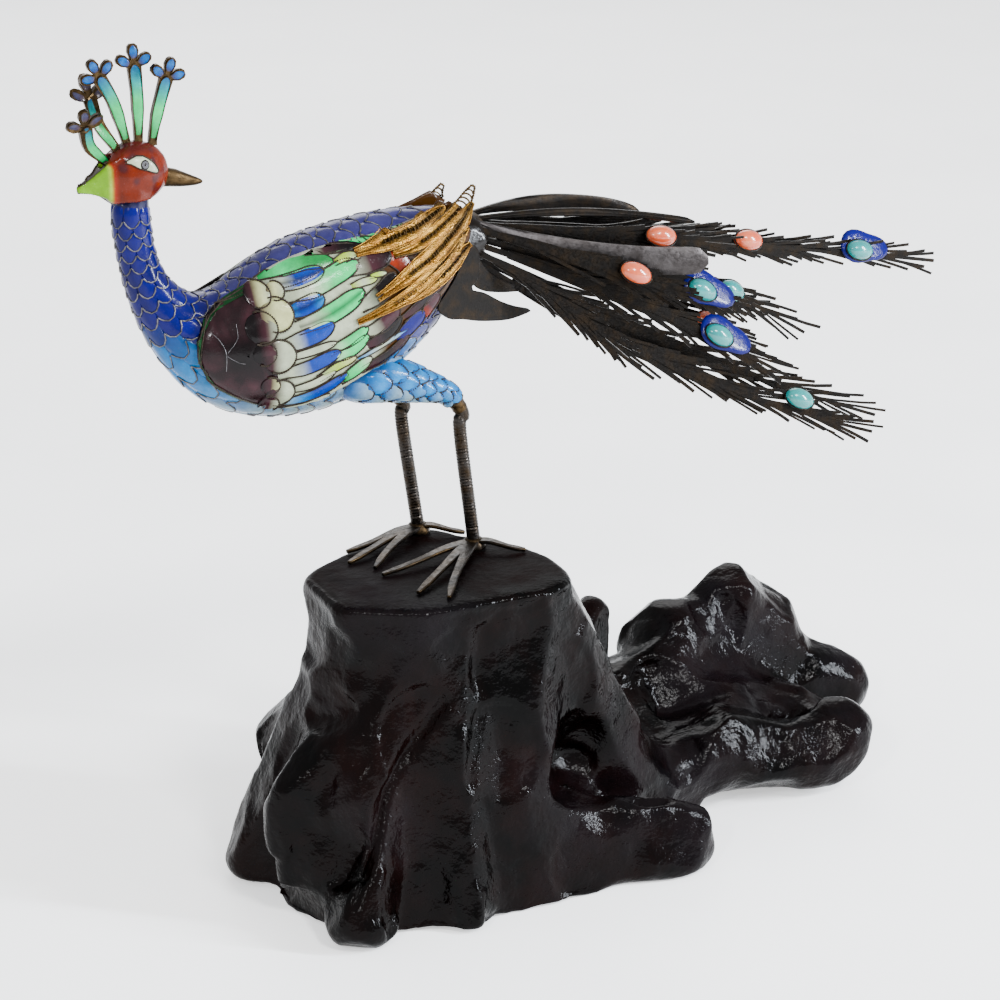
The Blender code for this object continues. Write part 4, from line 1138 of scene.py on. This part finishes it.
# The thigh's middle line: (x, z above the rock's top), how far it stands aside, and its radii along the line
THIGH_LINE = [(-27.5, 39.4), (-23.5, 38.9), (-19.0, 38.0), (-13.5, 37.0)]
THIGH_SIDE = 5.2
THIGH_RADII = [1.2, 2.4, 3.2, 3.7, 4.05, 4.3, 4.45, 4.5, 4.5, 4.45, 4.4, 4.3, 4.15, 4.0, 3.8, 3.6, 3.35, 3.1,
               2.85, 2.6, 2.35, 2.1, 1.95, 1.85, 1.75]
# The ferrule's radii in mm from the thigh down, and the number of steps along a leg wire
CUFF_RADII = [1.75, 1.8, 1.7, 1.62, 1.6, 1.68, 1.6, 1.52, 1.5, 1.56, 1.45]
LEG_STEPS = 150


def thigh_stops(point, centre):
    """Sky-blue thigh scales that turn white below."""
    below = ease(0.6, 3.4, (centre.z - point.z) / MM)
    tip = enamel("sky").lerp(enamel("milk"), 0.6 * below)
    return [enamel("sky") * 0.5, enamel("sky"), enamel("pale_sky").lerp(enamel("milk"), 0.5 * below), tip]


def build_leg(sizes, name):
    """A thigh with domed sky scales, the ferrule below it, and the notched leg wire."""
    side = SIDES[name]
    hock = above(*LEGS[name][0])
    axis = even_line([above(x, side * THIGH_SIDE, z) for x, z in THIGH_LINE]
                     + [hock - Vector((2.2, 0.0, -2.0)) * MM, hock], len(THIGH_RADII) - 1)
    core = Skin()
    core.tube(axis, [radius * MM for radius in THIGH_RADII], 24, tint=enamel("sky") * 0.5)
    thigh = core.piece("thigh_%s_core" % name, enamel_finish())
    limb = Limb(axis, thigh)
    body = tree_of(bpy.data.objects["body"])

    def hidden(point):
        return body.ray_cast(point, Vector((0, side, 0)))[0] is not None

    def width(s):
        return sizes.thigh_scale * (1.0 - 0.3 * ease(0.008, 0.019, s))

    skin, strands = Skin(), []
    lay_scales(skin, strands, limb, 2.6 * MM, limb.length - 2.2 * MM, width, 1.1 * sizes.scale_wire,
               2.2 * sizes.tile_dome, thigh_stops, hidden)
    settle(thigh, "sky_enamel", "thigh_" + name)
    settle(skin.piece("thigh_%s_scales" % name, enamel_finish()), "sky_enamel")
    settle(wires("thigh_%s_wires" % name, [twisted(points, 1.5 * radius) for points, radius in strands],
                 dark_wire()), "dark_wire")
    foot = above(*LEGS[name][1], 1.6)
    slope = Vector((0.75, 0.0, -0.66)).normalized()
    bends = [hock - slope * 0.6 * MM, hock + slope * 1.4 * MM, hock + slope * 1.6 * MM + Vector((0.9, 0, -2.6)) * MM,
             foot.lerp(hock, 0.78) + Vector((0.5 * MM, 0, 0)), foot]
    random.seed(7 if side < 0 else 8)
    radii = []
    for i in range(LEG_STEPS + 1):
        notch = 0.10 if i % 3 == 0 and 24 < i < 140 else 0.0
        radii.append(sizes.leg_radius * (1.0 - notch * random.uniform(0.3, 1.0)))
    leg = Skin()
    leg.tube(even_line(bends, LEG_STEPS), radii, 12)
    leg_metal = metal_finish("leg_metal", metal("silver") * 3.2, metal("tinge"), (0.26, 0.42), 500.0, 0.0001)
    settle(leg.piece("leg_%s_wire" % name, leg_metal), "dark_wire", "leg_" + name)
    cuff = Skin()
    ends = even_line([hock - slope * 1.6 * MM, hock + slope * 0.4 * MM,
                      hock + slope * 1.9 * MM + Vector((0.2, 0, -1.0)) * MM], len(CUFF_RADII) - 1)
    cuff.tube(ends, [radius * MM for radius in CUFF_RADII], 14)
    settle(cuff.piece("cuff_%s" % name, gilt()), "gilt_metal")


def build_foot(name):
    """A foot of cut metal: long toes that stand a little proud of the rock, and a boss round the leg."""
    hub = above(*LEGS[name][1], 1.5)
    foot = Skin()
    for number, (x, y) in enumerate(TOES[name]):
        tip = above(x, y, 0.45)
        reach = tip - hub
        bend = Vector((-reach.y, reach.x, 0.0)).normalized() * (0.8 - 0.6 * number) * MM
        line = even_line([hub, hub.lerp(tip, 0.3) + bend * 0.4 + Vector((0, 0, 0.75 * MM)),
                          hub.lerp(tip, 0.7) + bend + Vector((0, 0, 0.5 * MM)), tip], 16)
        widths = [(2.6 - 1.1 * ease(0.0, 0.7, i / 16) - 0.7 * ease(0.85, 1.0, i / 16)) * MM for i in range(17)]
        across = Vector((-reach.y, reach.x, 0.0)).normalized()
        foot.bar(line, widths, 0.75 * MM, across)
    boss = [hub + Vector((0, 0, h * MM)) for h in (-1.3, -0.9, -0.2, 0.5, 0.9)]
    foot.tube(boss, [2.4 * MM, 2.5 * MM, 2.35 * MM, 1.9 * MM, 1.5 * MM], 16)
    item = foot.piece("foot_%s_toes" % name, metal_finish("foot_gilt", metal("bronze") * 0.5, metal("silver"),
                                                          (0.3, 0.5), 220.0, 0.00012))
    modify(item, "BEVEL", width=0.00018, segments=2, limit_method="ANGLE")
    settle(item, "gilt_metal", "foot_" + name)


# ---------------------------------------------------------------- tail

# The tail's root: (x, z above the rock's top) in mm
ROOT = (7.0, 61.8)
# Blades: node, root (y, z from the tail's root), tip (x, y, z above the rock's top), sag, half width, widest, end
BLADES = [
    ("tail_blade_1", (0.9, 4.2), (43.5, 3.0, 62.0), 2.2, 1.5, 0.55, 0.12),
    ("tail_blade_2", (-0.9, 3.6), (52.0, -4.6, 60.6), 1.7, 0.75, 0.5, 0.5),
    ("tail_blade_3", (-2.6, 3.4), (52.5, -9.6, 54.0), -2.6, 2.7, 0.72, 0.8),
]
# The two curled leaves under the tail's root: node, how far they stand aside, and outline (x, z above the top)
CURLED = [
    ("tail_blade_4", -6.0, [(2.1, 62.0), (0.4, 59.8), (-1.5, 56.4), (-3.9, 53.5), (-5.6, 51.7), (-5.1, 50.1),
                            (-2.7, 48.4), (0.2, 47.8), (4.5, 46.6), (10.5, 45.6), (14.2, 45.7), (17.1, 46.4),
                            (12.9, 48.0), (9.4, 49.7), (5.7, 52.0), (2.4, 53.4), (4.0, 55.2), (4.5, 58.9),
                            (3.6, 61.7)]),
    ("tail_blade_5", -4.6, [(3.4, 60.1), (2.9, 57.1), (3.4, 54.0), (5.8, 52.1), (10.1, 50.9), (15.0, 50.2),
                            (18.0, 49.8), (15.0, 51.1), (11.3, 52.9), (7.7, 55.4), (5.3, 58.2), (4.8, 59.9)]),
]
# Feathers: root, tip, sag, half width, stones as (share, colour, side shift, enamel plate behind)
FEATHERS = [
    ((1.6, 1.8), (118.0, 9.6, 41.4), 0.6, 5.0, [(0.82, "turquoise", 0.4, True)]),
    ((0.6, 2.8), (90.5, 6.4, 47.2), 0.4, 3.6, [(0.75, "coral", 0.4, False)]),
    ((2.4, 3.2), (72.0, 14.6, 50.7), 0.2, 3.6, []),
    ((-0.6, 2.6), (62.5, -2.8, 54.0), 0.0, 3.4, [(0.70, "coral", 0.3, False)]),
    ((-3.6, 2.2), (47.0, -13.8, 47.4), 0.6, 4.0, [(0.72, "coral", 0.6, False)]),
    ((-2.0, 1.2), (63.0, -7.4, 40.8), 2.6, 4.0, [(0.82, "turquoise", 0.2, True)]),
    ((2.2, 0.2), (87.5, 11.0, 29.0), 5.0, 4.6, [(0.76, "turquoise", 0.2, False)]),
    ((-0.6, 0.0), (70.0, -1.4, 30.4), 2.0, 4.4, [(0.80, "coral", 0.0, False)]),
    ((-2.2, -1.0), (71.0, -11.0, 27.8), 1.8, 4.6, [(0.76, "turquoise", 0.4, True)]),
    ((-1.4, -4.4), (90.0, -13.2, 14.0), -4.0, 4.8, [(0.80, "turquoise", 2.2, False)]),
    ((-0.2, -3.6), (96.0, -4.6, 14.2), -2.4, 5.0, []),
    ((3.4, 1.4), (50.0, 12.8, 54.4), 1.0, 3.4, [(0.62, "turquoise", 0.4, False)]),
    ((-4.2, -2.3), (32.0, -16.4, 38.6), 1.4, 4.2, []),
    ((3.4, -0.6), (80.0, 14.2, 33.0), 1.0, 4.6, [(0.8, "coral", 0.0, False)]),
    ((3.0, -2.8), (66.0, 16.4, 23.0), 0.0, 4.6, [(0.8, "turquoise", 0.0, True)]),
]
# How many degrees a tail plate leans for each mm that its tip stands aside, and the side shift of the tip in mm
# from which on its stones face the far side
LEAN_PER_MM = 0.5
FAR_SIDE = 12.0
PLUME_STEPS = 60
BLADE_STEPS = 28


class Plume:
    """The bowed line of a tail plate, and the flat it lies in."""

    def __init__(self, root, tip, sag):
        start = above(ROOT[0] - 1.5, root[0], ROOT[1] + root[1])
        end = above(*tip)
        self.line = []
        for i in range(PLUME_STEPS + 1):
            t = i / PLUME_STEPS
            self.line.append(start.lerp(end, t) + Vector((0, 0, 4.0 * sag * MM * t * (1.0 - t))))
        self.length = line_length(self.line)
        lean = math.radians(-LEAN_PER_MM * tip[1])
        self.out = Vector((0.0, -math.cos(lean), math.sin(lean)))

    def ways(self, s):
        """The point, the way along, the way across and the way out at a distance along the line."""
        k = min(max(s / self.length, 0.0), 0.9999) * PLUME_STEPS
        low = int(k)
        along = (self.line[low + 1] - self.line[low]).normalized()
        across = self.out.cross(along).normalized()
        past = max(0.0, s - self.length)
        return self.line[low].lerp(self.line[low + 1], k - low) + along * past, along, across, along.cross(across)

    def place(self, s, b, h):
        """A point at a distance along, a distance across and a height."""
        point, _, across, out = self.ways(s)
        return point + across * b + out * h


def build_comb(skin, plume, half, sizes, seed):
    """A comb of cut strips on both sides of a stem, squared at their ends."""
    random.seed(seed)
    stem = [plume.place(plume.length * i / 24, 0.0, 0.0) for i in range(25)]
    widths = [sizes.stem_width * (1.0 - 0.45 * i / 24) for i in range(25)]
    _, _, across, _ = plume.ways(plume.length / 2)
    skin.bar(stem, widths, 0.0005, across)
    vane = [plume.place(plume.length * (0.1 + 0.6 * i / 12), 0.0, -0.15 * MM) for i in range(13)]
    skin.bar(vane, [half * MM * (0.2 + 0.45 * math.sin(math.pi * (0.1 + 0.8 * i / 12))) for i in range(13)], 0.0003,
             across)
    reach = min(sizes.barb_length, 0.40 * plume.length)
    bare = plume.length * 0.22
    for side in (-1.0, 1.0):
        for k in range(sizes.barbs):
            share = (k + 0.5 * (side > 0)) / (sizes.barbs - 0.5)
            foot = bare + (plume.length - bare - 0.55 * reach) * share
            long = reach * (1.0 - 0.35 * share) * random.uniform(0.75, 1.1)
            fan = half * MM * (1.0 - 0.3 * share) * random.uniform(0.35, 0.85)
            curl = random.uniform(-0.10, 0.22) * fan
            layer = random.uniform(-0.5, 0.5) * MM
            points = []
            for i in range(5):
                t = i / 4
                b = side * (0.15 * sizes.stem_width + fan * (0.5 * t + 0.5 * t * t) + curl * math.sin(math.pi * t))
                points.append(plume.place(foot + long * t, b, layer * t + 0.1 * MM * math.sin(3 * math.pi * t)))
            width = sizes.barb_width * random.uniform(0.85, 1.25)
            skin.bar(points, [width * (0.7 + 0.3 * min(1.0, 2 * i / 4)) for i in range(5)], sizes.barb_thick, across)


def build_blade(skin, plume, half, widest, blunt):
    """A plain blade: a thin leaf of metal, bowed across, with fine ribs."""
    rows = []
    for i in range(BLADE_STEPS + 1):
        t = i / BLADE_STEPS
        swell = t / widest if t < widest else 1.0 - (1.0 - blunt) * ((t - widest) / (1.0 - widest)) ** 2
        wide = (0.5 + (half - 0.5) * math.sin(0.5 * math.pi * swell)) * MM
        if t > 0.94:
            wide *= math.sqrt(max(0.1, 1.0 - ((t - 0.94) / 0.06) ** 2))
        s = plume.length * t
        ripple = 0.25 * MM * math.sin(9.0 * t + half)
        top, low = [], []
        for j in range(7):
            a = -1.0 + j / 3.0
            high = 0.35 * MM * (1.0 - a * a) * min(1.0, wide / MM / 1.5) + ripple * a + 0.12 * MM * (j % 2)
            top.append(plume.place(s, wide * a, high + 0.3 * MM))
            low.append(plume.place(s, wide * a, high - 0.3 * MM))
        rows.append(top + low[::-1])
    skin.sheet(rows, [[WHITE] * 14] * len(rows), plume.out, closed=True, caps=True)


def build_curled():
    """The two curled leaves that hang below the tail's root, cut from thin plate."""
    leaves = Skin()
    for _, aside, outline in CURLED:
        rim = even_line(flat(*outline, outline[0]), 3 * len(outline))[:-1]
        spots = [above(p.x, aside + 0.27 * (p.x - ROOT[0]), p.y) for p in rim]
        back = [spot + Vector((0.0, 0.6 * MM, 0.0)) for spot in spots]
        leaves.sheet([spots, back], [[WHITE] * len(spots)] * 2, Vector((-1, 0, 0)), closed=True, caps=True)
    item = leaves.piece("curled_leaves", old_silver())
    edit(item, bpy.ops.mesh.normals_make_consistent, inside=False)
    modify(item, "BEVEL", width=0.00015, segments=2, limit_method="ANGLE")
    settle(item, "dark_silver", *[row[0] for row in CURLED])


def build_stone(body, plates, collets, plume, share, shift, plate, far, sizes):
    """A polished stone in a dark collet, on a cobalt eye plate where the feather has one."""
    s = plume.length * share
    point, along, across, out = plume.ways(s)
    out = -out if far else (out + Vector((0.0, 0.0, 0.55))).normalized()
    across = out.cross(along).normalized()
    a, b, h = sizes.stone_length / 2, sizes.stone_width / 2, sizes.stone_height
    centre = point + across * shift * MM + out * 1.4 * MM
    rows = []
    for angle, drop in ((0.0, -0.6), (0.0, 0.0), (18.0, 0.0), (38.0, 0.0), (58.0, 0.0), (76.0, 0.0), (87.0, 0.0)):
        c, lift = math.cos(math.radians(angle)), math.sin(math.radians(angle))
        rows.append([centre + along * a * c * math.cos(k * math.pi / 12) + across * b * c * math.sin(k * math.pi / 12)
                     + out * (h * lift + drop * MM) for k in range(24)])
    body.sheet(rows, [[WHITE] * 24] * 7, lambda spot: out + (spot - centre) * 200, closed=True, caps=True)
    ring = [centre + along * (a + 0.1 * MM) * math.cos(k * math.pi / 12)
            + across * (b + 0.1 * MM) * math.sin(k * math.pi / 12) for k in range(25)]
    collets.append((ring, 0.22 * MM))
    if plate:
        rows, shades = [], []
        middle = centre + along * 1.3 * MM + across * 0.9 * MM
        for size, high in ((1.0, -0.3), (0.97, 0.0), (0.88, 0.2), (0.7, 0.3), (0.4, 0.34), (0.05, 0.35)):
            ring = []
            for k in range(24):
                angle = k * math.pi / 12
                lobed = 1.0 + 0.16 * math.cos(2 * angle) + 0.10 * math.cos(3 * angle)
                around = along * 5.4 * MM * math.cos(angle) * lobed + across * 4.0 * MM * math.sin(angle) * lobed
                ring.append(middle + around * size + out * (high - 0.35) * MM)
            rows.append(ring)
            shades.append([enamel("cobalt") * 0.8 if size > 0.9 else enamel("cobalt")] * 24)
        plates.sheet(rows, shades, out, closed=True, caps=True)


def build_tail(sizes):
    """The train: ribbed blades on top, combs of strips below, and the stones on them."""
    grey = metal_finish("grey_silver", (0.050, 0.045, 0.044), (0.020, 0.017, 0.016), (0.32, 0.5), 300.0)
    for node, root, tip, sag, half, widest, blunt in BLADES:
        blade = Skin()
        build_blade(blade, Plume(root, tip, sag), half, widest, blunt)
        settle(blade.piece(node + "_plate", grey if half > 2.0 else old_silver()), "dark_silver", node)
    build_curled()
    combs, plates, collets = Skin(), Skin(), []
    bodies = {"coral": Skin(), "turquoise": Skin()}
    found = {"coral": [], "turquoise": []}
    count = 0
    for number, (root, tip, sag, half, stones) in enumerate(FEATHERS, start=1):
        plume = Plume(root, tip, sag)
        build_comb(combs, plume, half, sizes, number)
        for share, colour_name, shift, plate in stones:
            count += 1
            found[colour_name].append("stone_%02d" % count)
            build_stone(bodies[colour_name], plates, collets, plume, share, shift, plate, tip[1] > FAR_SIDE, sizes)
    nodes = ["tail_feather_%02d" % k for k in range(1, len(FEATHERS) + 1)]
    settle(combs.piece("tail_combs", old_silver()), "dark_silver", *nodes)
    coral = stone_finish("coral_stone", (0.40, 0.050, 0.014), (0.44, 0.10, 0.035))
    turquoise = stone_finish("turquoise_stone", (0.0004, 0.12, 0.115), (0.002, 0.19, 0.18))
    settle(bodies["coral"].piece("coral_stones", coral), "coral", *found["coral"])
    settle(bodies["turquoise"].piece("turquoise_stones", turquoise), "turquoise", *found["turquoise"])
    settle(plates.piece("eye_plates", enamel_finish()), "blue_enamel")
    settle(wires("stone_collets", collets, old_silver()), "dark_silver")


# ---------------------------------------------------------------- rock and stage

# Broad folds added over the rock's core: (x, y, z, radius) along each, in mm
FOLDS = [
    [(-22, -22, 54, 1.5), (-27, -24, 46, 4), (-34, -22, 37, 5), (-40.5, -20, 27, 6), (-42, -20, 16, 6),
     (-43, -20, 6, 4)],
    [(-20, -22, 46, 2), (-25, -24, 38, 5), (-31, -24.5, 27, 7), (-35, -23.5, 16, 8), (-36, -22.5, 6, 7)],
    [(-1, -22, 61, 2), (0.5, -25.5, 48, 4.5), (-1, -29, 36, 5.5), (-1, -31.5, 24, 7), (1, -31, 12, 8),
     (2, -31, 4, 7)],
    [(12, -28, 22, 1.5), (22, -31, 14, 5), (34, -33, 10, 6), (42, -34, 9, 4)],
]
# The oval cone that fills the rock: its middle, half length and half width at the foot, height and narrowing,
# in metres
CORE_MIDDLE = (-0.015, -0.015, 0.029)
CORE_HALVES = (0.028, 0.0235)
CORE_HEIGHT = 0.058
CORE_NARROWING = 0.66
# The cone that carries the far foot: its middle (z from the top), its radii below and above and its height, in mm
SHELF_MIDDLE = (-6.0, 0.5, -20.0)
SHELF_RADII = (14.0, 10.5)
SHELF_HEIGHT = 40.0
# How many places are tried for a facet, and how nearly a place has to face the same way to be planed with it
FACET_TRIES = 6000
FACING = 0.35
# Carved creases on the front: line (x, z), width and depth in mm
CREASES = [
    ([(-15.5, 46.0), (-21.0, 38.0), (-27.5, 30.0), (-31.5, 20.0), (-37.0, 11.0)], 1.8, 1.3),
    ([(-7.0, 58.0), (-8.0, 44.0), (-12.0, 30.0)], 3.0, 0.7),
    ([(-24.0, 56.0), (-28.0, 47.0), (-36.0, 40.0)], 2.4, 0.8),
]


def gap(spot, line):
    """How far a spot is from a line, seen from the front."""
    least = 1e9
    for (ax, az), (bx, bz) in zip(line, line[1:]):
        step = Vector((bx - ax, bz - az))
        way = Vector((spot.x - ax, spot.z - az))
        share = min(max(way.dot(step) / step.length_squared, 0.0), 1.0)
        least = min(least, (way - step * share).length)
    return least


def plane_facets(places, normals, sizes):
    """Plane flat facets into the rock, as a chisel leaves them, and give the new places."""
    random.seed(21)
    order = random.sample(range(len(places)), len(places))
    chosen = []
    for i in order[:FACET_TRIES]:
        if all((places[i] - places[k]).length > sizes.facet for k in chosen):
            chosen.append(i)
    tree = KDTree(len(chosen))
    for number, k in enumerate(chosen):
        tree.insert(places[k], number)
    tree.balance()
    reach = 1.15 * sizes.facet
    cut_places = []
    for place, normal in zip(places, normals):
        deepest = 0.0
        for spot, number, distance in tree.find_range(place, reach):
            way = normals[chosen[number]]
            if way.dot(normal) > FACING:
                cut = (place - spot).dot(way) + sizes.facet_depth
                deepest = max(deepest, cut * ease(reach, 0.7 * reach, distance))
        cut_places.append(place - normal * min(deepest, 1.6 * sizes.facet_depth))
    return cut_places


def flat_top(spot, normal):
    """White on the rock's flat top, where the lacquer is duller, and black elsewhere."""
    return WHITE * ease(0.9, 0.98, normal.z) * ease(TOP / MM - 2.5, TOP / MM - 1.0, spot.z)


def build_rock(sizes):
    """The carved rock, melted smooth and worked over with shallow tool marks, under a glossy lacquer."""
    rock = refined("stand", "carved_rock", lacquer_finish(), quads=False)
    folds = Skin()
    for line in FOLDS:
        axis = even_line([Vector(spot[:3]) * MM for spot in line], 12)
        girth = even_line([Vector((spot[3], 0.0)) for spot in line], 12)
        folds.tube(axis, [g.x * MM for g in girth], 20)
    extra = folds.piece("rock_folds", lacquer_finish())
    bpy.ops.object.select_all(action="DESELECT")
    bpy.ops.mesh.primitive_cone_add(vertices=48, radius1=1.0, radius2=CORE_NARROWING, depth=CORE_HEIGHT,
                                    location=CORE_MIDDLE)
    core = bpy.context.active_object
    bpy.ops.transform.resize(value=(*CORE_HALVES, 1.0), center_override=CORE_MIDDLE)
    bpy.ops.object.select_all(action="DESELECT")
    bpy.ops.mesh.primitive_cone_add(vertices=48, radius1=SHELF_RADII[0] * MM, radius2=SHELF_RADII[1] * MM,
                                    depth=SHELF_HEIGHT * MM, location=above(*SHELF_MIDDLE))
    shelf = bpy.context.active_object
    pick(rock)
    for item in (extra, core, shelf):
        item.select_set(True)
    bpy.ops.object.join()
    modify(rock, "REMESH", mode="VOXEL", voxel_size=sizes.voxel)
    modify(rock, "SMOOTH", iterations=26, factor=0.5)
    bpy.ops.object.shade_smooth()
    places, normals = skin_of(rock)
    top = [ease(TOP - 2.5 * MM, TOP - 0.5 * MM, place.z) for place in places]
    cuts = plane_facets(places, normals, sizes)
    reshape(rock, [cut.lerp(place, share) for cut, place, share in zip(cuts, places, top)])
    modify(rock, "SMOOTH", iterations=3, factor=0.5)
    places, normals = skin_of(rock)
    for i, (place, normal) in enumerate(zip(places, normals)):
        spot = place / MM
        swell = noise.noise(spot * 0.07) * sizes.swell
        ripple = noise.noise(spot * 0.28 + Vector((9, 0, 0))) * sizes.ripple
        free = ease(0.3, 3.0, spot.z) * ease(TOP / MM - 0.3, TOP / MM - 2.5, spot.z)
        cut = 0.0
        if normal.y < -0.1:
            cut = sum(depth * ease(width, 0.0, gap(spot, line)) for line, width, depth in CREASES)
        places[i] = place + normal * (swell + ripple - cut * MM) * free
        places[i].z = max(0.0, places[i].z)
    reshape(rock, places)
    paint(rock, flat_top)
    settle(rock, "lacquered_wood", "stand")


# Lamps: name, place, what they point at, size, power in watts and colour
LAMPS = (
    ("key", (0.08, -0.85, 0.85), (0.0, 0.0, 0.08), (0.18, 0.18), 11.0, (1.0, 1.0, 1.0)),
    ("glint", (-0.50, -0.55, 0.50), (0.0, 0.0, 0.06), (0.06, 0.06), 3.0, (1.0, 1.0, 1.0)),
    ("strip", (0.68, -0.57, 0.38), (0.0, -0.02, 0.05), (0.05, 0.50), 26.0, (0.86, 0.92, 1.0)),
    ("back", (0.3, 0.8, 0.6), (0.0, 0.0, 0.08), (0.7, 0.5), 5.0, (1.0, 1.0, 1.0)),
)
CAMERA_PLACE = (-0.22651961, -0.51099044, 0.27688282)
CAMERA_AIM = (0.01175915, 0.0, 0.07167074)
LENS_AND_SENSOR = (108.0, 36.0)


def build_stage():
    """A pale floor, soft lights and the camera."""
    bpy.ops.object.select_all(action="DESELECT")
    bpy.ops.mesh.primitive_plane_add(size=6.0, location=(0.0, 0.0, 0.0))
    floor = bpy.context.active_object
    floor.name = "studio_floor"
    pale, tree, shader = finish("pale_floor", {"Roughness": 0.7})
    cloud = grain(tree, 12.0, 4.0)
    tone = mix(tree, cloud.outputs["Mask"], (0.95, 0.95, 0.945), (0.90, 0.90, 0.90))
    tree.links.new(tone, shader.inputs["Base Color"])
    shader.inputs["Emission Color"].default_value = (1.0, 1.0, 1.0, 1.0)
    shader.inputs["Emission Strength"].default_value = 0.7
    floor.data.materials.append(pale)
    world = bpy.data.worlds.new("studio")
    bpy.context.scene.world = world
    world.use_nodes = True
    world.node_tree.nodes["Background"].inputs[0].default_value = (0.95, 0.97, 1.0, 1.0)
    world.node_tree.nodes["Background"].inputs[1].default_value = 1.25
    for name, place, aim, size, power, tone in LAMPS:
        lamp = bpy.data.lights.new(name, "AREA")
        lamp.shape = "RECTANGLE"
        lamp.size, lamp.size_y = size
        lamp.energy = power
        lamp.color = tone
        item = add_object(name, lamp)
        item.location = place
        item.rotation_mode = "QUATERNION"
        item.rotation_quaternion = (Vector(aim) - Vector(place)).to_track_quat("-Z", "Y")
    view = bpy.data.cameras.new("view")
    view.lens, view.sensor_width = LENS_AND_SENSOR
    view.dof.use_dof = False
    view.clip_start, view.clip_end = 0.01, 20.0
    camera = add_object("view", view)
    camera.location = CAMERA_PLACE
    camera.rotation_mode = "QUATERNION"
    camera.rotation_quaternion = (Vector(CAMERA_AIM) - camera.location).to_track_quat("-Z", "Y")
    bpy.context.scene.camera = camera


# ---------------------------------------------------------------- add-on

class PEACOCK_OT_stage(bpy.types.Operator):
    """Set out the floor, the lights and the camera"""
    bl_idname = "peacock.stage"
    bl_label = "Stage"

    def execute(self, context):
        build_stage()
        return {"FINISHED"}


class PEACOCK_OT_rock(bpy.types.Operator):
    """Finish the carved rock in glossy lacquer"""
    bl_idname = "peacock.rock"
    bl_label = "Carved rock"

    def execute(self, context):
        build_rock(context.scene.peacock_rock)
        return {"FINISHED"}


class PEACOCK_OT_body(bpy.types.Operator):
    """Lay the body's enamel scales and their wires"""
    bl_idname = "peacock.body"
    bl_label = "Body scales"

    def execute(self, context):
        build_body(context.scene.peacock_bird)
        return {"FINISHED"}


class PEACOCK_OT_wings(bpy.types.Operator):
    """Build both wings with their enamel feathers and gilt tips"""
    bl_idname = "peacock.wings"
    bl_label = "Wings"

    def execute(self, context):
        for name in SIDES:
            build_wing(context.scene.peacock_bird, name)
        return {"FINISHED"}


class PEACOCK_OT_head(bpy.types.Operator):
    """Build the head with its eyes, and the beak"""
    bl_idname = "peacock.head"
    bl_label = "Head and beak"

    def execute(self, context):
        build_head()
        return {"FINISHED"}


class PEACOCK_OT_crest(bpy.types.Operator):
    """Build the five crest feathers"""
    bl_idname = "peacock.crest"
    bl_label = "Crest"

    def execute(self, context):
        build_crest(context.scene.peacock_bird)
        return {"FINISHED"}


class PEACOCK_OT_legs(bpy.types.Operator):
    """Build the thighs, leg wires and feet"""
    bl_idname = "peacock.legs"
    bl_label = "Legs and feet"

    def execute(self, context):
        for name in SIDES:
            build_leg(context.scene.peacock_bird, name)
            build_foot(name)
        return {"FINISHED"}


class PEACOCK_OT_tail(bpy.types.Operator):
    """Build the train with its blades, combs and stones"""
    bl_idname = "peacock.tail"
    bl_label = "Tail"

    def execute(self, context):
        build_tail(context.scene.peacock_tail)
        return {"FINISHED"}


OPERATORS = (PEACOCK_OT_stage, PEACOCK_OT_rock, PEACOCK_OT_body, PEACOCK_OT_wings, PEACOCK_OT_head,
             PEACOCK_OT_crest, PEACOCK_OT_legs, PEACOCK_OT_tail)
SETTINGS = (("peacock_enamel", EnamelColours), ("peacock_metal", MetalColours), ("peacock_bird", BirdSizes),
            ("peacock_tail", TailSizes), ("peacock_rock", RockSizes))


class PEACOCK_PT_panel(bpy.types.Panel):
    """The figurine's pieces and settings"""
    bl_idname = "PEACOCK_PT_panel"
    bl_label = "Peacock figurine"
    bl_space_type = "VIEW_3D"
    bl_region_type = "UI"
    bl_category = "Peacock"

    def draw(self, context):
        for operator in OPERATORS:
            self.layout.operator(operator.bl_idname)
        for name, group in SETTINGS:
            box = self.layout.box()
            for key in group.__annotations__:
                box.prop(getattr(context.scene, name), key)


def register():
    """Register the settings, the operators and the panel."""
    for name, group in SETTINGS:
        bpy.utils.register_class(group)
        setattr(bpy.types.Scene, name, PointerProperty(type=group))
    for item in (*OPERATORS, PEACOCK_PT_panel):
        bpy.utils.register_class(item)


def unregister():
    """Take the panel, the operators and the settings away again."""
    for item in (PEACOCK_PT_panel, *reversed(OPERATORS)):
        bpy.utils.unregister_class(item)
    for name, group in reversed(SETTINGS):
        delattr(bpy.types.Scene, name)
        bpy.utils.unregister_class(group)


def main():
    """Build the figurine piece by piece."""
    register()
    for operator in OPERATORS:
        getattr(bpy.ops.peacock, operator.bl_idname.split(".")[1])()
    bpy.context.view_layer.update()


if __name__ == "__main__":
    main()
